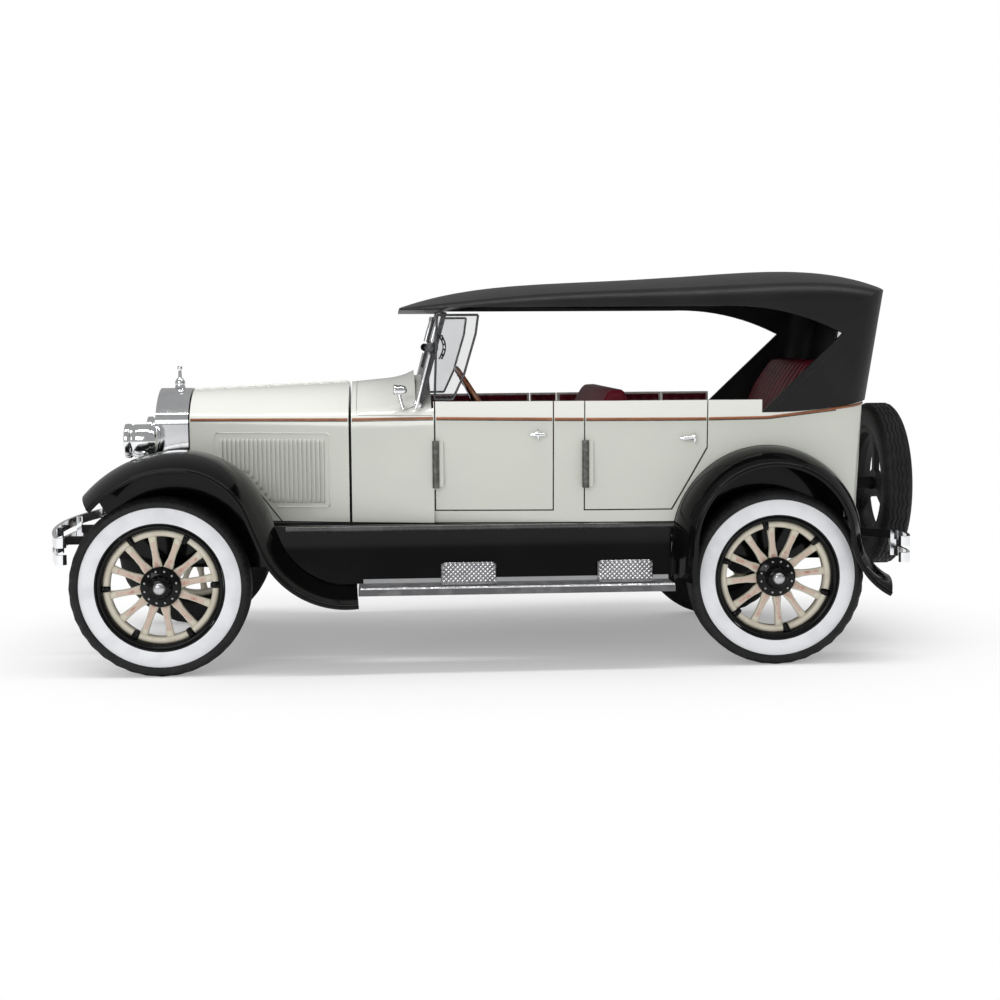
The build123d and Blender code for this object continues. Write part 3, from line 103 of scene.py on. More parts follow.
class Shape:
    """Points, faces and finish numbers that grow as forms are added."""

    def __init__(self):
        self.points, self.faces, self.finish_of = [], [], []

    def grid(self, rows, number=0, close_rows=False, close_columns=False):
        """Faces between rows of equal length; number is a finish, or a rule for (row, column)."""
        start, width = len(self.points), len(rows[0])
        for row in rows:
            self.points.extend(row)
        row_count = len(rows) if close_rows else len(rows) - 1
        column_count = width if close_columns else width - 1
        for i in range(row_count):
            for j in range(column_count):
                a, b = start + i * width, start + (i + 1) % len(rows) * width
                self.faces.append((a + j, a + (j + 1) % width, b + (j + 1) % width, b + j))
                self.finish_of.append(number(i, j) if callable(number) else number)

    def fan(self, ring, number=0):
        """One face that closes a ring of points."""
        start = len(self.points)
        self.points.extend(ring)
        self.faces.append(tuple(range(start, start + len(ring))))
        self.finish_of.append(number)

    def closed(self, rings, number=0):
        """Rings joined one to the next, with a face over each end."""
        self.grid(rings, number, close_columns=True)
        self.fan(rings[0][::-1], number)
        self.fan(rings[-1], number)

    def turned(self, profile, centre, axis, sides=32, number=0):
        """A profile of (radius, height) turned round an axis through centre."""
        axis = Vector(axis).normalized()
        side = axis.orthogonal().normalized()
        other = axis.cross(side)
        rows = []
        for turn in circle(sides):
            out = side * math.cos(turn) + other * math.sin(turn)
            rows.append([tuple(Vector(centre) + out * r + axis * h) for r, h in profile])
        self.grid(rows, number, close_rows=True)

    def tube(self, path, radius, sides=10, number=0, flat=1.0):
        """A round bar along a path, closed at both ends; radius is one number or one for each point."""
        path = [Vector(p) for p in path]
        rings = []
        for i, place in enumerate(path):
            ahead = (path[min(i + 1, len(path) - 1)] - path[max(i - 1, 0)]).normalized()
            up = Vector((0, 0, 1)) if abs(ahead.z) < 0.9 else Vector((1, 0, 0))
            side = ahead.cross(up).normalized()
            up = side.cross(ahead)
            r = radius[i] if isinstance(radius, (list, tuple)) else radius
            rings.append([tuple(place + side * (r * math.cos(a)) + up * (r * flat * math.sin(a)))
                          for a in circle(sides)])
        self.closed(rings, number)

    def block(self, low, high, ease=0.0):
        """A block with its upright edges eased."""
        (x0, y0, z0), (x1, y1, z1), e = low, high, ease
        ring = [(x0 + e, y0), (x1 - e, y0), (x1, y0 + e), (x1, y1 - e),
                (x1 - e, y1), (x0 + e, y1), (x0, y1 - e), (x0, y0 + e)]
        self.closed([[(x, y, z) for x, y in ring] for z in (z0, z1)])


print("shape helpers ready")

# %% [markdown]
# Finishes come next, because each piece names its finish when it is made. A painted toy is never one flat
# colour: enamel has a faint ripple, plating has haze, rubber is dusty. Each of these effects is a node group
# with named inputs, built once and used by every material that needs it, with its own values each time.

# %% A node group for surface ripple and grain
FLOAT, COLOUR = "NodeSocketFloat", "NodeSocketColor"
GRAIN_REACH = (0.3, 0.7)     # the part of the noise that is spread over the roughness range


def new_group(name, inputs, outputs):
    """An empty shader node group with named sockets, and its two ends."""
    group = bpy.data.node_groups.new(name, "ShaderNodeTree")
    for label, kind, value in inputs:
        socket = group.interface.new_socket(label, in_out="INPUT", socket_type=kind)
        socket.default_value = value
    for label, kind in outputs:
        group.interface.new_socket(label, in_out="OUTPUT", socket_type=kind)
    return group, group.nodes.new("NodeGroupInput"), group.nodes.new("NodeGroupOutput")


def surface_grain():
    """Fine noise in the object's own coordinates, as a height and as a change of roughness."""
    group, ins, outs = new_group(
        "surface_grain",
        (("Scale", FLOAT, 900.0), ("Detail", FLOAT, 4.0), ("Roughness Low", FLOAT, 0.3),
         ("Roughness High", FLOAT, 0.4)),
        (("Height", FLOAT), ("Roughness", FLOAT)))
    links = group.links
    place = group.nodes.new("ShaderNodeTexCoord")
    noise = group.nodes.new("ShaderNodeTexNoise")
    links.new(place.outputs["Object"], noise.inputs["Vector"])
    links.new(ins.outputs["Scale"], noise.inputs["Scale"])
    links.new(ins.outputs["Detail"], noise.inputs["Detail"])
    spread = group.nodes.new("ShaderNodeMapRange")
    spread.inputs["From Min"].default_value, spread.inputs["From Max"].default_value = GRAIN_REACH
    links.new(noise.outputs["Fac"], spread.inputs["Value"])
    links.new(ins.outputs["Roughness Low"], spread.inputs["To Min"])
    links.new(ins.outputs["Roughness High"], spread.inputs["To Max"])
    links.new(noise.outputs["Fac"], outs.inputs["Height"])
    links.new(spread.outputs["Result"], outs.inputs["Roughness"])
    return group


GRAIN = surface_grain()
print("group:", GRAIN.name)


# %% A node group for uneven colour: two tones mixed by slow noise
def uneven_colour():
    """Two colours mixed by noise, for paint that varies and for a wash in the recesses."""
    group, ins, outs = new_group(
        "uneven_colour",
        (("Colour", COLOUR, (1, 1, 1, 1)), ("Second Colour", COLOUR, (0, 0, 0, 1)), ("Scale", FLOAT, 60.0),
         ("Start", FLOAT, 0.45), ("End", FLOAT, 0.65)),
        (("Colour", COLOUR), ("Mask", FLOAT)))
    links = group.links
    place = group.nodes.new("ShaderNodeTexCoord")
    noise = group.nodes.new("ShaderNodeTexNoise")
    noise.inputs["Detail"].default_value = 3.0
    links.new(place.outputs["Object"], noise.inputs["Vector"])
    links.new(ins.outputs["Scale"], noise.inputs["Scale"])
    mask = group.nodes.new("ShaderNodeMapRange")
    links.new(noise.outputs["Fac"], mask.inputs["Value"])
    links.new(ins.outputs["Start"], mask.inputs["From Min"])
    links.new(ins.outputs["End"], mask.inputs["From Max"])
    mix = group.nodes.new("ShaderNodeMix")
    mix.data_type = "RGBA"
    links.new(mask.outputs["Result"], mix.inputs["Factor"])
    links.new(ins.outputs["Colour"], mix.inputs["A"])
    links.new(ins.outputs["Second Colour"], mix.inputs["B"])
    links.new(mix.outputs["Result"], outs.inputs["Colour"])
    links.new(mask.outputs["Result"], outs.inputs["Mask"])
    return group


UNEVEN = uneven_colour()
print("group:", UNEVEN.name)


# %% A helper that joins the two groups to one shader
def socket_name(label):
    """The name on a socket, from a keyword: specular_ior_level is Specular IOR Level."""
    return label.replace("_", " ").title().replace("Ior", "IOR")


def grouped(material, tree, **values):
    """A group node in a material, its inputs set by their names."""
    node = material.node_tree.nodes.new("ShaderNodeGroup")
    node.node_tree = tree
    for label, value in values.items():
        node.inputs[socket_name(label)].default_value = value
    return node


def finish(name, colour, second, patch, rough, grain, bump, slow=(0.45, 0.65), **shader):
    """A material: two colours, their patches per metre, roughness range, grain per metre, bump in mm."""
    material = bpy.data.materials.new(name)
    material.use_nodes = True
    nodes, links = material.node_tree.nodes, material.node_tree.links
    principled = nodes["Principled BSDF"]
    tone = grouped(material, UNEVEN, colour=(*colour, 1), second_colour=(*second, 1), scale=patch,
                   start=slow[0], end=slow[1])
    fine = grouped(material, GRAIN, scale=grain, roughness_low=rough[0], roughness_high=rough[1])
    links.new(tone.outputs["Colour"], principled.inputs["Base Color"])
    links.new(fine.outputs["Roughness"], principled.inputs["Roughness"])
    lift = nodes.new("ShaderNodeBump")
    lift.inputs["Distance"].default_value = bump * MM
    lift.inputs["Strength"].default_value = 1.0
    links.new(fine.outputs["Height"], lift.inputs["Height"])
    links.new(lift.outputs["Normal"], principled.inputs["Normal"])
    for label, value in shader.items():
        principled.inputs[socket_name(label)].default_value = value
    return material


print("finish helper ready")

# %% [markdown]
# The body is enamel in two tones: greenish cream below the copper bead and a lighter cream above it. The
# change follows the height of the bead, which rises towards the tail, so the mask is worked out from each
# point's own place on the model. The fenders are black enamel, so glossy that only their highlights show.

# %% Body enamel in two tones, split at the bead's height
BEAD_RISE = ((160.0, 65.5), (190.0, 68.9))     # station and height where the bead climbs to the tail
LOWER_CREAM = ((0.60, 0.615, 0.555), (0.585, 0.60, 0.545))
UPPER_CREAM = ((0.80, 0.805, 0.75), (0.79, 0.795, 0.74))
CREAM_PATCH = 70.0


def two_tone_enamel():
    """Cream enamel, lighter above the bead."""
    material = finish("cream_enamel", *LOWER_CREAM, CREAM_PATCH, (0.16, 0.24), 700.0, 0.004,
                      coat_weight=0.6, coat_roughness=0.06, specular_ior_level=0.45)
    nodes, links = material.node_tree.nodes, material.node_tree.links
    principled = nodes["Principled BSDF"]
    low_tone = principled.inputs["Base Color"].links[0].from_socket
    place = nodes.new("ShaderNodeTexCoord")
    parts = nodes.new("ShaderNodeSeparateXYZ")
    links.new(place.outputs["Object"], parts.inputs["Vector"])
    rise = nodes.new("ShaderNodeMapRange")
    (s0, z0), (s1, z1) = BEAD_RISE
    for label, value in (("From Min", at(s0)), ("From Max", at(s1)), ("To Min", z0), ("To Max", z1)):
        rise.inputs[label].default_value = value * MM
    links.new(parts.outputs["X"], rise.inputs["Value"])
    above = nodes.new("ShaderNodeMath")
    above.operation = "GREATER_THAN"
    links.new(parts.outputs["Z"], above.inputs[0])
    links.new(rise.outputs["Result"], above.inputs[1])
    high_tone = grouped(material, UNEVEN, colour=(*UPPER_CREAM[0], 1), second_colour=(*UPPER_CREAM[1], 1),
                        scale=CREAM_PATCH)
    mix = nodes.new("ShaderNodeMix")
    mix.data_type = "RGBA"
    links.new(above.outputs["Value"], mix.inputs["Factor"])
    links.new(low_tone, mix.inputs["A"])
    links.new(high_tone.outputs["Colour"], mix.inputs["B"])
    links.new(mix.outputs["Result"], principled.inputs["Base Color"])
    return material


ENAMEL = two_tone_enamel()
BLACK = finish("black_enamel", (0.002, 0.002, 0.0022), (0.003, 0.003, 0.0033), 90.0, (0.12, 0.18),
               800.0, 0.003, coat_weight=0.26, coat_roughness=0.05, specular_ior_level=0.08)
print("enamels:", ENAMEL.name, BLACK.name)

# %% Plating, plastics, rubber and the small colours
CHROME = finish("vacuum_plating", (0.90, 0.91, 0.92), (0.84, 0.85, 0.87), 220.0, (0.05, 0.13), 1500.0, 0.002,
                metallic=1.0)
SILVER = finish("silver_paint", (0.55, 0.55, 0.56), (0.44, 0.44, 0.46), 500.0, (0.22, 0.36), 2500.0, 0.004,
                metallic=0.9)
COPPER = finish("copper_bead", (0.24, 0.085, 0.035), (0.33, 0.125, 0.055), 260.0, (0.28, 0.42), 1800.0, 0.006,
                slow=(0.35, 0.7), metallic=0.25)
CHASSIS = finish("satin_black_plastic", (0.007, 0.007, 0.007), (0.012, 0.012, 0.012), 120.0, (0.45, 0.6),
                 1600.0, 0.012, specular_ior_level=0.25)
TOP = finish("matt_charcoal_plastic", (0.006, 0.006, 0.0062), (0.009, 0.009, 0.0092), 90.0, (0.36, 0.46),
             2600.0, 0.014, specular_ior_level=0.30)
BURGUNDY = finish("burgundy_plastic", (0.150, 0.010, 0.020), (0.100, 0.006, 0.014), 110.0, (0.34, 0.46),
                  1300.0, 0.008, specular_ior_level=0.2)
CREAM = finish("cream_spoke_paint", (0.64, 0.60, 0.49), (0.58, 0.53, 0.43), 300.0, (0.3, 0.42), 1800.0, 0.006)
WASHED = finish("washed_spoke_paint", (0.60, 0.46, 0.38), (0.44, 0.17, 0.12), 420.0, (0.3, 0.45),
                1800.0, 0.01, slow=(0.52, 0.72))
RUBBER = finish("tyre_rubber", (0.007, 0.007, 0.0075), (0.012, 0.012, 0.0125), 240.0, (0.5, 0.68),
                2600.0, 0.012, specular_ior_level=0.3)
WHITE_BAND = finish("white_band", (0.78, 0.79, 0.81), (0.70, 0.71, 0.74), 160.0, (0.38, 0.5), 1700.0, 0.006)
WOOD_BROWN = finish("wood_brown_plastic", (0.20, 0.065, 0.022), (0.27, 0.10, 0.035), 300.0, (0.22, 0.34),
                    1500.0, 0.006, coat_weight=0.4)
MAT_GREY = finish("board_mat", (0.10, 0.10, 0.105), (0.16, 0.16, 0.165), 260.0, (0.35, 0.5), 2200.0, 0.01,
                  metallic=0.3)
CORE = finish("radiator_core_plastic", (0.016, 0.017, 0.02), (0.028, 0.03, 0.034), 400.0, (0.35, 0.5),
              2400.0, 0.01)
# the apron's lip is black enamel; this dark grey paints in its highlight
LIP_PAINTED_HIGHLIGHT = finish("apron_lip_painted_highlight", (0.05, 0.05, 0.048), (0.075, 0.075, 0.072), 160.0, (0.2, 0.3),
                  1500.0, 0.004, coat_weight=0.4)
SCREEN_GREY = finish("charcoal_enamel", (0.085, 0.085, 0.09), (0.11, 0.11, 0.115), 160.0, (0.22, 0.32),
                     1500.0, 0.004, metallic=0.5)
# grey painted shade, for the mouths of the louvres and the cowl's groove
PAINTED_SHADE = finish("painted_shade_grey", (0.36, 0.37, 0.33), (0.30, 0.31, 0.28), 300.0, (0.3, 0.4),
                     1500.0, 0.004)
HINGE_METAL = finish("dull_zinc", (0.11, 0.11, 0.10), (0.20, 0.195, 0.18), 700.0, (0.35, 0.5), 2400.0, 0.006,
                     metallic=0.6)
print("finishes:", len(bpy.data.materials))

# %% [markdown]
# Clear plastic is moulded, so it has a faint ripple and a cool tint, and it darkens what is behind it a
# little. Transmission stays a plain number on the shader; only roughness and the normal vary.

# %% Clear plastic for panes and lamp glasses
def clear(name, colour, rough):
    """Clear moulded plastic."""
    second = tuple(c * 0.96 for c in colour)
    return finish(name, colour, second, 80.0, rough, 600.0, 0.002, transmission_weight=1.0, ior=1.3)


PANE = clear("smoked_pane", (0.80, 0.81, 0.83), (0.02, 0.06))
WING_PANE = clear("grey_wing_pane", (0.80, 0.805, 0.81), (0.02, 0.06))
GLASS = clear("lamp_glass", (0.96, 0.97, 0.98), (0.03, 0.08))
print("clear:", PANE.name, WING_PANE.name, GLASS.name)

# %% [markdown]
# Most nodes of the frame are shown as they are, so each of them wears a finish too. A node that a piece takes
# the place of later is dressed as well, which costs nothing and keeps the list whole.

# %% Which finish each frame node wears
def both(*names):
    """Names of the left and right node of each."""
    return [f"{name}_{side_name}" for name in names for side_name, side in SIDES]


WEARS = {
    ENAMEL: ["body_shell", "bonnet_rod", *both("bonnet", "front_door", "rear_door")],
    BLACK: both("front_fender", "rear_fender", "splash_apron"),
    CHROME: ["radiator_shell", "radiator_cap", "headlamps", "cowl_lamps", "step_plates", "front_bumper",
             "rear_bumpers", "screen_stanchions", *both("front_door_handle", "rear_door_handle")],
    CHASSIS: ["chassis_frame", "leaf_springs", "front_axle", "rear_axle", "engine_block", "floor_pan",
              "steering_column", "spare_carrier", "spare_rim", "bumper_irons", *both("knuckle")],
    TOP: ["moulded_top"],
    BURGUNDY: ["front_seat", "rear_seat", "dashboard"],
    MAT_GREY: both("running_board"),
    CORE: ["radiator_core"],
    SCREEN_GREY: ["windscreen_frame"],
    PANE: ["windscreen_panes", "rear_window"],
    WING_PANE: ["wind_wings"],
    GLASS: ["headlamp_lenses"],
    WOOD_BROWN: ["steering_wheel"],
    CREAM: both("front_wheel", "rear_wheel"),
    RUBBER: ["spare_tyre", *both("front_tyre", "rear_tyre")],
}
for worn, names in WEARS.items():
    for name in names:
        mesh = NODES[name].data
        mesh.materials.clear()
        mesh.materials.append(worn)
print("nodes dressed:", sum(len(names) for names in WEARS.values()), "of", len(NODES))

# %% [markdown]
# A tyre is a turned ring, but a smooth ring looks like a washer. The real one has a recessed flat white band,
# a rounded shoulder with small notches and a tread of wavy ribs. So the profile is turned in many steps, and
# the points of the tread are moved in and out and sideways as they go round.

# %% The tyre: profile, white band, ribs and notches
TYRE_PROFILE = (
    # radius, distance from the middle plane towards the outside, and what it belongs to
    (16.3, 3.0, "side"), (16.45, 3.3, "side"), (16.75, 3.42, "white"), (18.7, 3.5, "white"),
    (20.55, 3.42, "white"), (20.75, 3.3, "side"), (20.95, 3.75, "side"), (21.5, 3.9, "side"),
    (22.2, 3.72, "side"), (22.6, 3.45, "notch"), (23.0, 3.0, "notch"), (23.26, 2.5, "rib"),
    (23.3, 2.1, "rib"), (22.95, 1.95, "rib"), (22.95, 1.75, "rib"), (23.3, 1.6, "rib"),
    (23.3, 0.75, "rib"), (22.95, 0.62, "rib"), (22.95, 0.42, "rib"), (23.3, 0.3, "rib"),
    (23.3, -0.3, "rib"), (22.95, -0.42, "rib"), (22.95, -0.62, "rib"), (23.3, -0.75, "rib"),
    (23.3, -1.6, "rib"), (22.95, -1.75, "rib"), (22.95, -1.95, "rib"), (23.3, -2.1, "rib"),
    (23.26, -2.5, "rib"), (23.0, -3.0, "notch"), (22.6, -3.45, "notch"), (22.0, -3.8, "side"),
    (20.8, -3.9, "side"), (19.0, -3.82, "side"), (17.2, -3.5, "side"), (16.4, -3.1, "side"),
)
TYRE_STEPS, RIB_WAVE, NOTCH_DEPTH = 288, 0.32, 0.28


def tyre(name, node, place, body):
    """A tyre; place turns (around, out, up) of the wheel into a point of the model."""
    rows = []
    for i, turn in enumerate(circle(TYRE_STEPS)):
        wave = RIB_WAVE * (abs(i % 8 - 4) - 2) / 2
        row = []
        for radius, out, part in TYRE_PROFILE:
            if part == "notch" and i % 4 == 0:
                radius -= NOTCH_DEPTH
            if part == "rib":
                out += wave
            row.append(place(radius * math.cos(turn), out, radius * math.sin(turn)))
        rows.append(row)
    shape = Shape()
    shape.grid(rows, lambda i, j: int(TYRE_PROFILE[j][2] == "white"), close_rows=True, close_columns=True)
    made = piece(name, shape, (RUBBER, WHITE_BAND), body)
    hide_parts(node)


def wheel_place(axle, side):
    """Turns wheel coordinates into model coordinates for one corner of the car."""
    x = at(AXLE_STATIONS[axle])
    return lambda a, out, up: (x - a, side * (TRACK_HALF + out), AXLE_Z + up)


for axle in AXLE_STATIONS:
    for side_name, side in SIDES:
        corner = f"{axle}_tyre_{side_name}"
        tyre(f"{corner}_tread", corner, wheel_place(axle, side), f"{axle}_wheel_{side_name}")
low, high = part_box("spare_tyre")
SPARE_X, SPARE_Z = (low.x + high.x) / 2 / MM, (low.z + high.z) / 2 / MM
tyre("spare_tyre_tread", "spare_tyre", lambda a, out, up: (SPARE_X - out, a, SPARE_Z + up), "root")
print("tyre faces:", MADE["spare_tyre_tread"])

# %% [markdown]
# The wheels imitate wood: cream spokes that fan out where they meet at the hub, a cream felloe, and a black
# steel rim held on by six lugs. The maker wiped a red-brown wash over the spokes, which stays in streaks.
# The black hub flange has twelve silver bolts and a small silver cap. Each wheel is one joined piece.

# %% The wheel's turned parts, as radius and distance out from the middle plane
RIM = ((14.9, 1.5), (15.05, 2.6), (15.5, 3.05), (16.1, 3.1), (16.2, 2.8), (15.9, 2.2), (15.9, -2.2),
       (16.2, -2.8), (16.1, -3.1), (15.4, -3.0), (15.0, -2.2), (14.9, -1.5))
FELLOE = ((13.2, -1.4), (13.2, 1.0), (13.45, 1.45), (14.0, 1.6), (14.6, 1.5), (14.9, 1.2), (14.9, -1.5))
FLANGE = ((1.1, -3.4), (3.2, -3.4), (3.2, -1.9), (5.1, -1.9), (5.25, 1.7), (4.95, 2.1), (3.3, 2.15),
          (3.0, 2.4), (2.75, 3.9), (2.35, 4.35), (1.6, 4.5))
CAP = ((1.6, 4.45), (1.5, 5.1), (1.05, 5.5), (0.5, 5.6), (0.02, 5.6))
# profile, finish number, and whether its section is a closed loop
TURNED_PARTS = ((RIM, 0, True), (FELLOE, 1, True), (FLANGE, 0, False), (CAP, 3, False))
WHEEL_STEPS = 96
SPOKES, LUGS = 12, 6
WHEEL_TURNS = {"front": (9.0, 1.5), "rear": (5.5, 42.0)}     # degrees of the first spoke and the first lug
print("wheel profiles:", len(TURNED_PARTS))

# %% Spokes, lugs, bolts and nuts
SPOKE_SECTIONS = (
    # radius, half width and half thickness
    (4.9, 1.28, 0.9), (6.2, 1.18, 0.95), (7.6, 0.92, 1.0), (9.6, 0.86, 0.95), (11.8, 0.98, 0.9),
    (12.8, 1.08, 0.85), (13.3, 1.16, 0.8),
)
WASHED_ROWS, WASHED_COLUMNS = 4, (3, 4)     # faces of a spoke that keep the wash
LUG = ((12.75, 0.45), (13.1, 0.75), (14.2, 0.95), (15.2, 0.8), (15.6, 0.35))     # radius and half width
LUG_SECTION = ((-1, 1.2), (-0.9, 1.75), (-0.4, 2.05), (0.4, 2.05), (0.9, 1.75), (1, 1.2))
LUG_WOBBLE = 0.08
BOLT = (4.2, ((0.36, 2.05), (0.36, 2.3), (0.2, 2.45)), 8, 3)     # place, levels, sides and finish number
NUT = (14.1, ((0.42, 1.9), (0.42, 2.45), (0.25, 2.6)), 6, 0)


def polar(turn, r, across, out):
    """Wheel coordinates of a point at radius r and distance across, in the direction turn."""
    return (r * math.cos(turn) - across * math.sin(turn), out, r * math.sin(turn) + across * math.cos(turn))


def squared(value, power):
    """A cosine or sine pushed outwards, so that a round section gets flatter sides."""
    return math.copysign(abs(value) ** power, value)


def stud(shape, turn, place, levels, sides, number):
    """A small bolt head or nut that stands out of the wheel."""
    rows = [[polar(turn, place + r * math.cos(a), r * math.sin(a), out) for a in circle(sides)]
            for r, out in levels]
    shape.grid(rows, number, close_columns=True)
    shape.fan(rows[-1], number)


def spoke(shape, turn):
    """One spoke in the direction turn, with the wash left on two of its sides."""
    rows = [[polar(turn, r, half * squared(math.cos(a), 0.7), thick * squared(math.sin(a), 0.8))
             for a in circle(16)] for r, half, thick in SPOKE_SECTIONS]
    shape.grid(rows, lambda i, j: 2 if i < WASHED_ROWS and j in WASHED_COLUMNS else 1, close_columns=True)


def lug(shape, turn):
    """One lug over the rim, its edges a little uneven."""
    rows = []
    for r, half in LUG:
        wobble = random.uniform(-LUG_WOBBLE, LUG_WOBBLE)
        rows.append([polar(turn, r, (half + wobble) * s, out) for s, out in LUG_SECTION])
    shape.grid(rows, 0)
    shape.fan(rows[0], 0)
    shape.fan(rows[-1][::-1], 0)


def wheel(axle, side_name, side):
    """One wood-spoked wheel as a joined mesh: 0 black, 1 cream, 2 washed cream, 3 silver."""
    shape = Shape()
    for profile, number, ring in TURNED_PARTS:
        rows = [[(r * math.cos(t), out, r * math.sin(t)) for r, out in profile] for t in circle(WHEEL_STEPS)]
        shape.grid(rows, number, close_rows=True, close_columns=ring)
    first_spoke, first_lug = (math.radians(a) for a in WHEEL_TURNS[axle])
    for i in range(SPOKES):
        spoke(shape, first_spoke + math.radians(30 * i))
        stud(shape, math.radians(15 + 30 * i), *BOLT)
    for i in range(LUGS):
        turn = first_lug + math.radians(60 * i)
        lug(shape, turn)
        stud(shape, turn, *NUT)
    place = wheel_place(axle, side)
    shape.points = [place(*p) for p in shape.points]
    body = f"{axle}_wheel_{side_name}"
    made = piece(f"{body}_painted", shape, (BLACK, CREAM, WASHED, SILVER), body)
    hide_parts(f"{axle}_wheel_{side_name}")


for axle in AXLE_STATIONS:
    for side_name, side in SIDES:
        wheel(axle, side_name, side)
print("wheel faces:", MADE["front_wheel_left_painted"])

# %% [markdown]
# Trim has to lie on the painted skin, which bows in two directions. So a finder shoots a ray from the side or
# from above, at the frame's own mesh and reports where it lands. Every line, bead and lining below is drawn
# through such points, which is why it follows the body wherever the body goes.

# %% A finder of the skin
def skin_finder(*names):
    """A search tree over some nodes of the frame."""
    points, faces = [], []
    for name in names:
        mesh = NODES[name].data
        start = len(points)
        points.extend(vertex.co.copy() for vertex in mesh.vertices)
        faces.extend([start + i for i in polygon.vertices] for polygon in mesh.polygons)
    return BVHTree.FromPolygons(points, faces)


OUTSIDE_Y, OUTSIDE_Z = 90, 130     # places well clear of the body, where rays start


def skin_y(tree, station, z, side, default=30.0):
    """Distance of the outer skin from the middle plane, in millimetres."""
    hit = tree.ray_cast(Vector((at(station), side * OUTSIDE_Y, z)) * MM, Vector((0, -side, 0)))[0]
    return abs(hit.y) / MM if hit else default


def skin_z(tree, station, y, default=70.0):
    """Height of the skin seen from above, in millimetres."""
    hit = tree.ray_cast(Vector((at(station), y, OUTSIDE_Z)) * MM, Vector((0, 0, -1)))[0]
    return hit.z / MM if hit else default


def steps(first, last, count):
    """Evenly spaced values from first to last."""
    return [first + (last - first) * i / (count - 1) for i in range(count)]


SHELL = skin_finder("body_shell")
print("belt at the pillar:", round(skin_y(SHELL, 107, 60, 1), 1), "mm")

# %% [markdown]
# A copper bead runs from the radiator to the tail at one height, broken at every shut line. The maker paints
# it by hand on a raised bead, so it is drawn as a low half round, in one piece for each moving panel. A thin
# black strip under it is painted shadow of the bead.

# %% The copper bead
BEAD_HALF, BEAD_STANDS, BEAD_SUNK = 0.40, 0.30, 0.15
SHADOW_DEEP, SHADOW_STANDS = 0.14, 0.03
BEAD_RUNS = (
    # body, node of the skin, first and last station
    ("bonnet_{side}", "bonnet_{side}", 5.6, 48.4),
    ("root", "body_shell", 49.6, 71.1),
    ("front_door_{side}", "front_door_{side}", 71.9, 102.4),
    ("root", "body_shell", 103.1, 110.7),
    ("rear_door_{side}", "rear_door_{side}", 111.4, 143.3),
    ("root", "body_shell", 144.0, 178.5),
)
BEAD_HEIGHTS = ((5.0, 65.2), (49.0, 65.4), (72.0, 65.8), (112.0, 65.4), (142.0, 65.3)) + BEAD_RISE


def along(table, station):
    """A value read from a table of (station, value) by straight lines between its rows."""
    for (s0, v0), (s1, v1) in zip(table, table[1:]):
        if station <= s1:
            return v0 + (v1 - v0) * (station - s0) / (s1 - s0)
    return table[-1][1]


def bead(name, tree, side, first, last, body):
    """A half-round bead along the skin at the bead's height, with a black strip of painted shadow under it.
    """
    shape = Shape()
    rows = []
    for station in steps(first, last, max(8, int((last - first) / 1.2))):
        z = along(BEAD_HEIGHTS, station)
        y = skin_y(tree, station, z, side)
        rows.append([(at(station), side * (y - BEAD_SUNK + (BEAD_STANDS + BEAD_SUNK) * math.sin(turn)),
                      z + BEAD_HALF * math.cos(turn)) for turn in steps(0, math.pi, 9)])
    shape.grid(rows)
    shape.fan(rows[0])
    shape.fan(rows[-1][::-1])
    # painted shadow: a black strip just under the bead, lying on the skin
    low = [[(x, z - SHADOW_DEEP * k) for k in range(2)] for x, y, z in (row[-1] for row in rows)]
    shape.grid([[(x, side * (skin_y(tree, FRONT_AXLE_X - x, z, side) + SHADOW_STANDS), z) for x, z in row]
                for row in low], 1)
    piece(name, shape, (COPPER, BLACK), body)


for side_name, side in SIDES:
    for number, (body, node, first, last) in enumerate(BEAD_RUNS):
        tree = skin_finder(node.format(side=side_name))
        bead(f"copper_bead_{side_name}_{number}", tree, side, first, last, body.format(side=side_name))
print("beads:", sum(name.startswith("copper") for name in MADE))

# %% [markdown]
# Behind the doors the bead climbs with the foot of the top and crosses the back panel. The plan of the body
# turns a corner there, so this run is found with rays that turn round the corner with it.

# %% The bead round the tail
TURN_CENTRE = (at(176.0), 24.0)
CORNER_TURN = math.radians(86)
TAIL_HEIGHTS = (along(BEAD_HEIGHTS, 178.5), BEAD_RISE[1][1])
CLIMB = 1.6     # how much sooner than the corner's end the bead reaches its full height


def tail_run(side):
    """Points of the skin, and the way out, from the end of the side bead to the middle of the back."""
    found = []
    first, last = TAIL_HEIGHTS
    for turn in steps(CORNER_TURN, 0, 20):
        out = Vector((-math.cos(turn), side * math.sin(turn), 0))
        start = Vector((TURN_CENTRE[0], side * TURN_CENTRE[1], 0))
        z = first + (last - first) * min(1.0, (1 - turn / CORNER_TURN) * CLIMB)
        hit = SHELL.ray_cast((start + Vector((0, 0, z)) + out * 40) * MM, -out)[0]
        if hit:
            found.append((hit / MM, out))
    for y in steps(TURN_CENTRE[1] - 2, 0, 12):
        out = Vector((-1, 0, 0))
        hit = SHELL.ray_cast(Vector((at(215), side * y, last)) * MM, -out)[0]
        if hit:
            found.append((hit / MM, out))
    return found


def bead_ring(place, out):
    """The bead's half round at one point of the skin."""
    return [tuple(place + out * (-BEAD_SUNK + (BEAD_STANDS + BEAD_SUNK) * math.sin(turn))
                  + Vector((0, 0, BEAD_HALF * math.cos(turn)))) for turn in steps(0, math.pi, 9)]


for side_name, side in SIDES:
    run = tail_run(side)
    shape = Shape()
    shape.grid([bead_ring(place, out) for place, out in run])
    piece(f"tail_bead_{side_name}", shape, (COPPER,), "root")
print("tail bead points:", len(run))

# %% [markdown]
# The bonnet's sides carry pressed louvres inside a raised border. Each louvre is a slim blister that opens to
# the rear, so a row of them is a height field: it rises slowly along the louvre's width and drops sharply.
# The sharp drop at each louvre's mouth wears grey as painted shade.

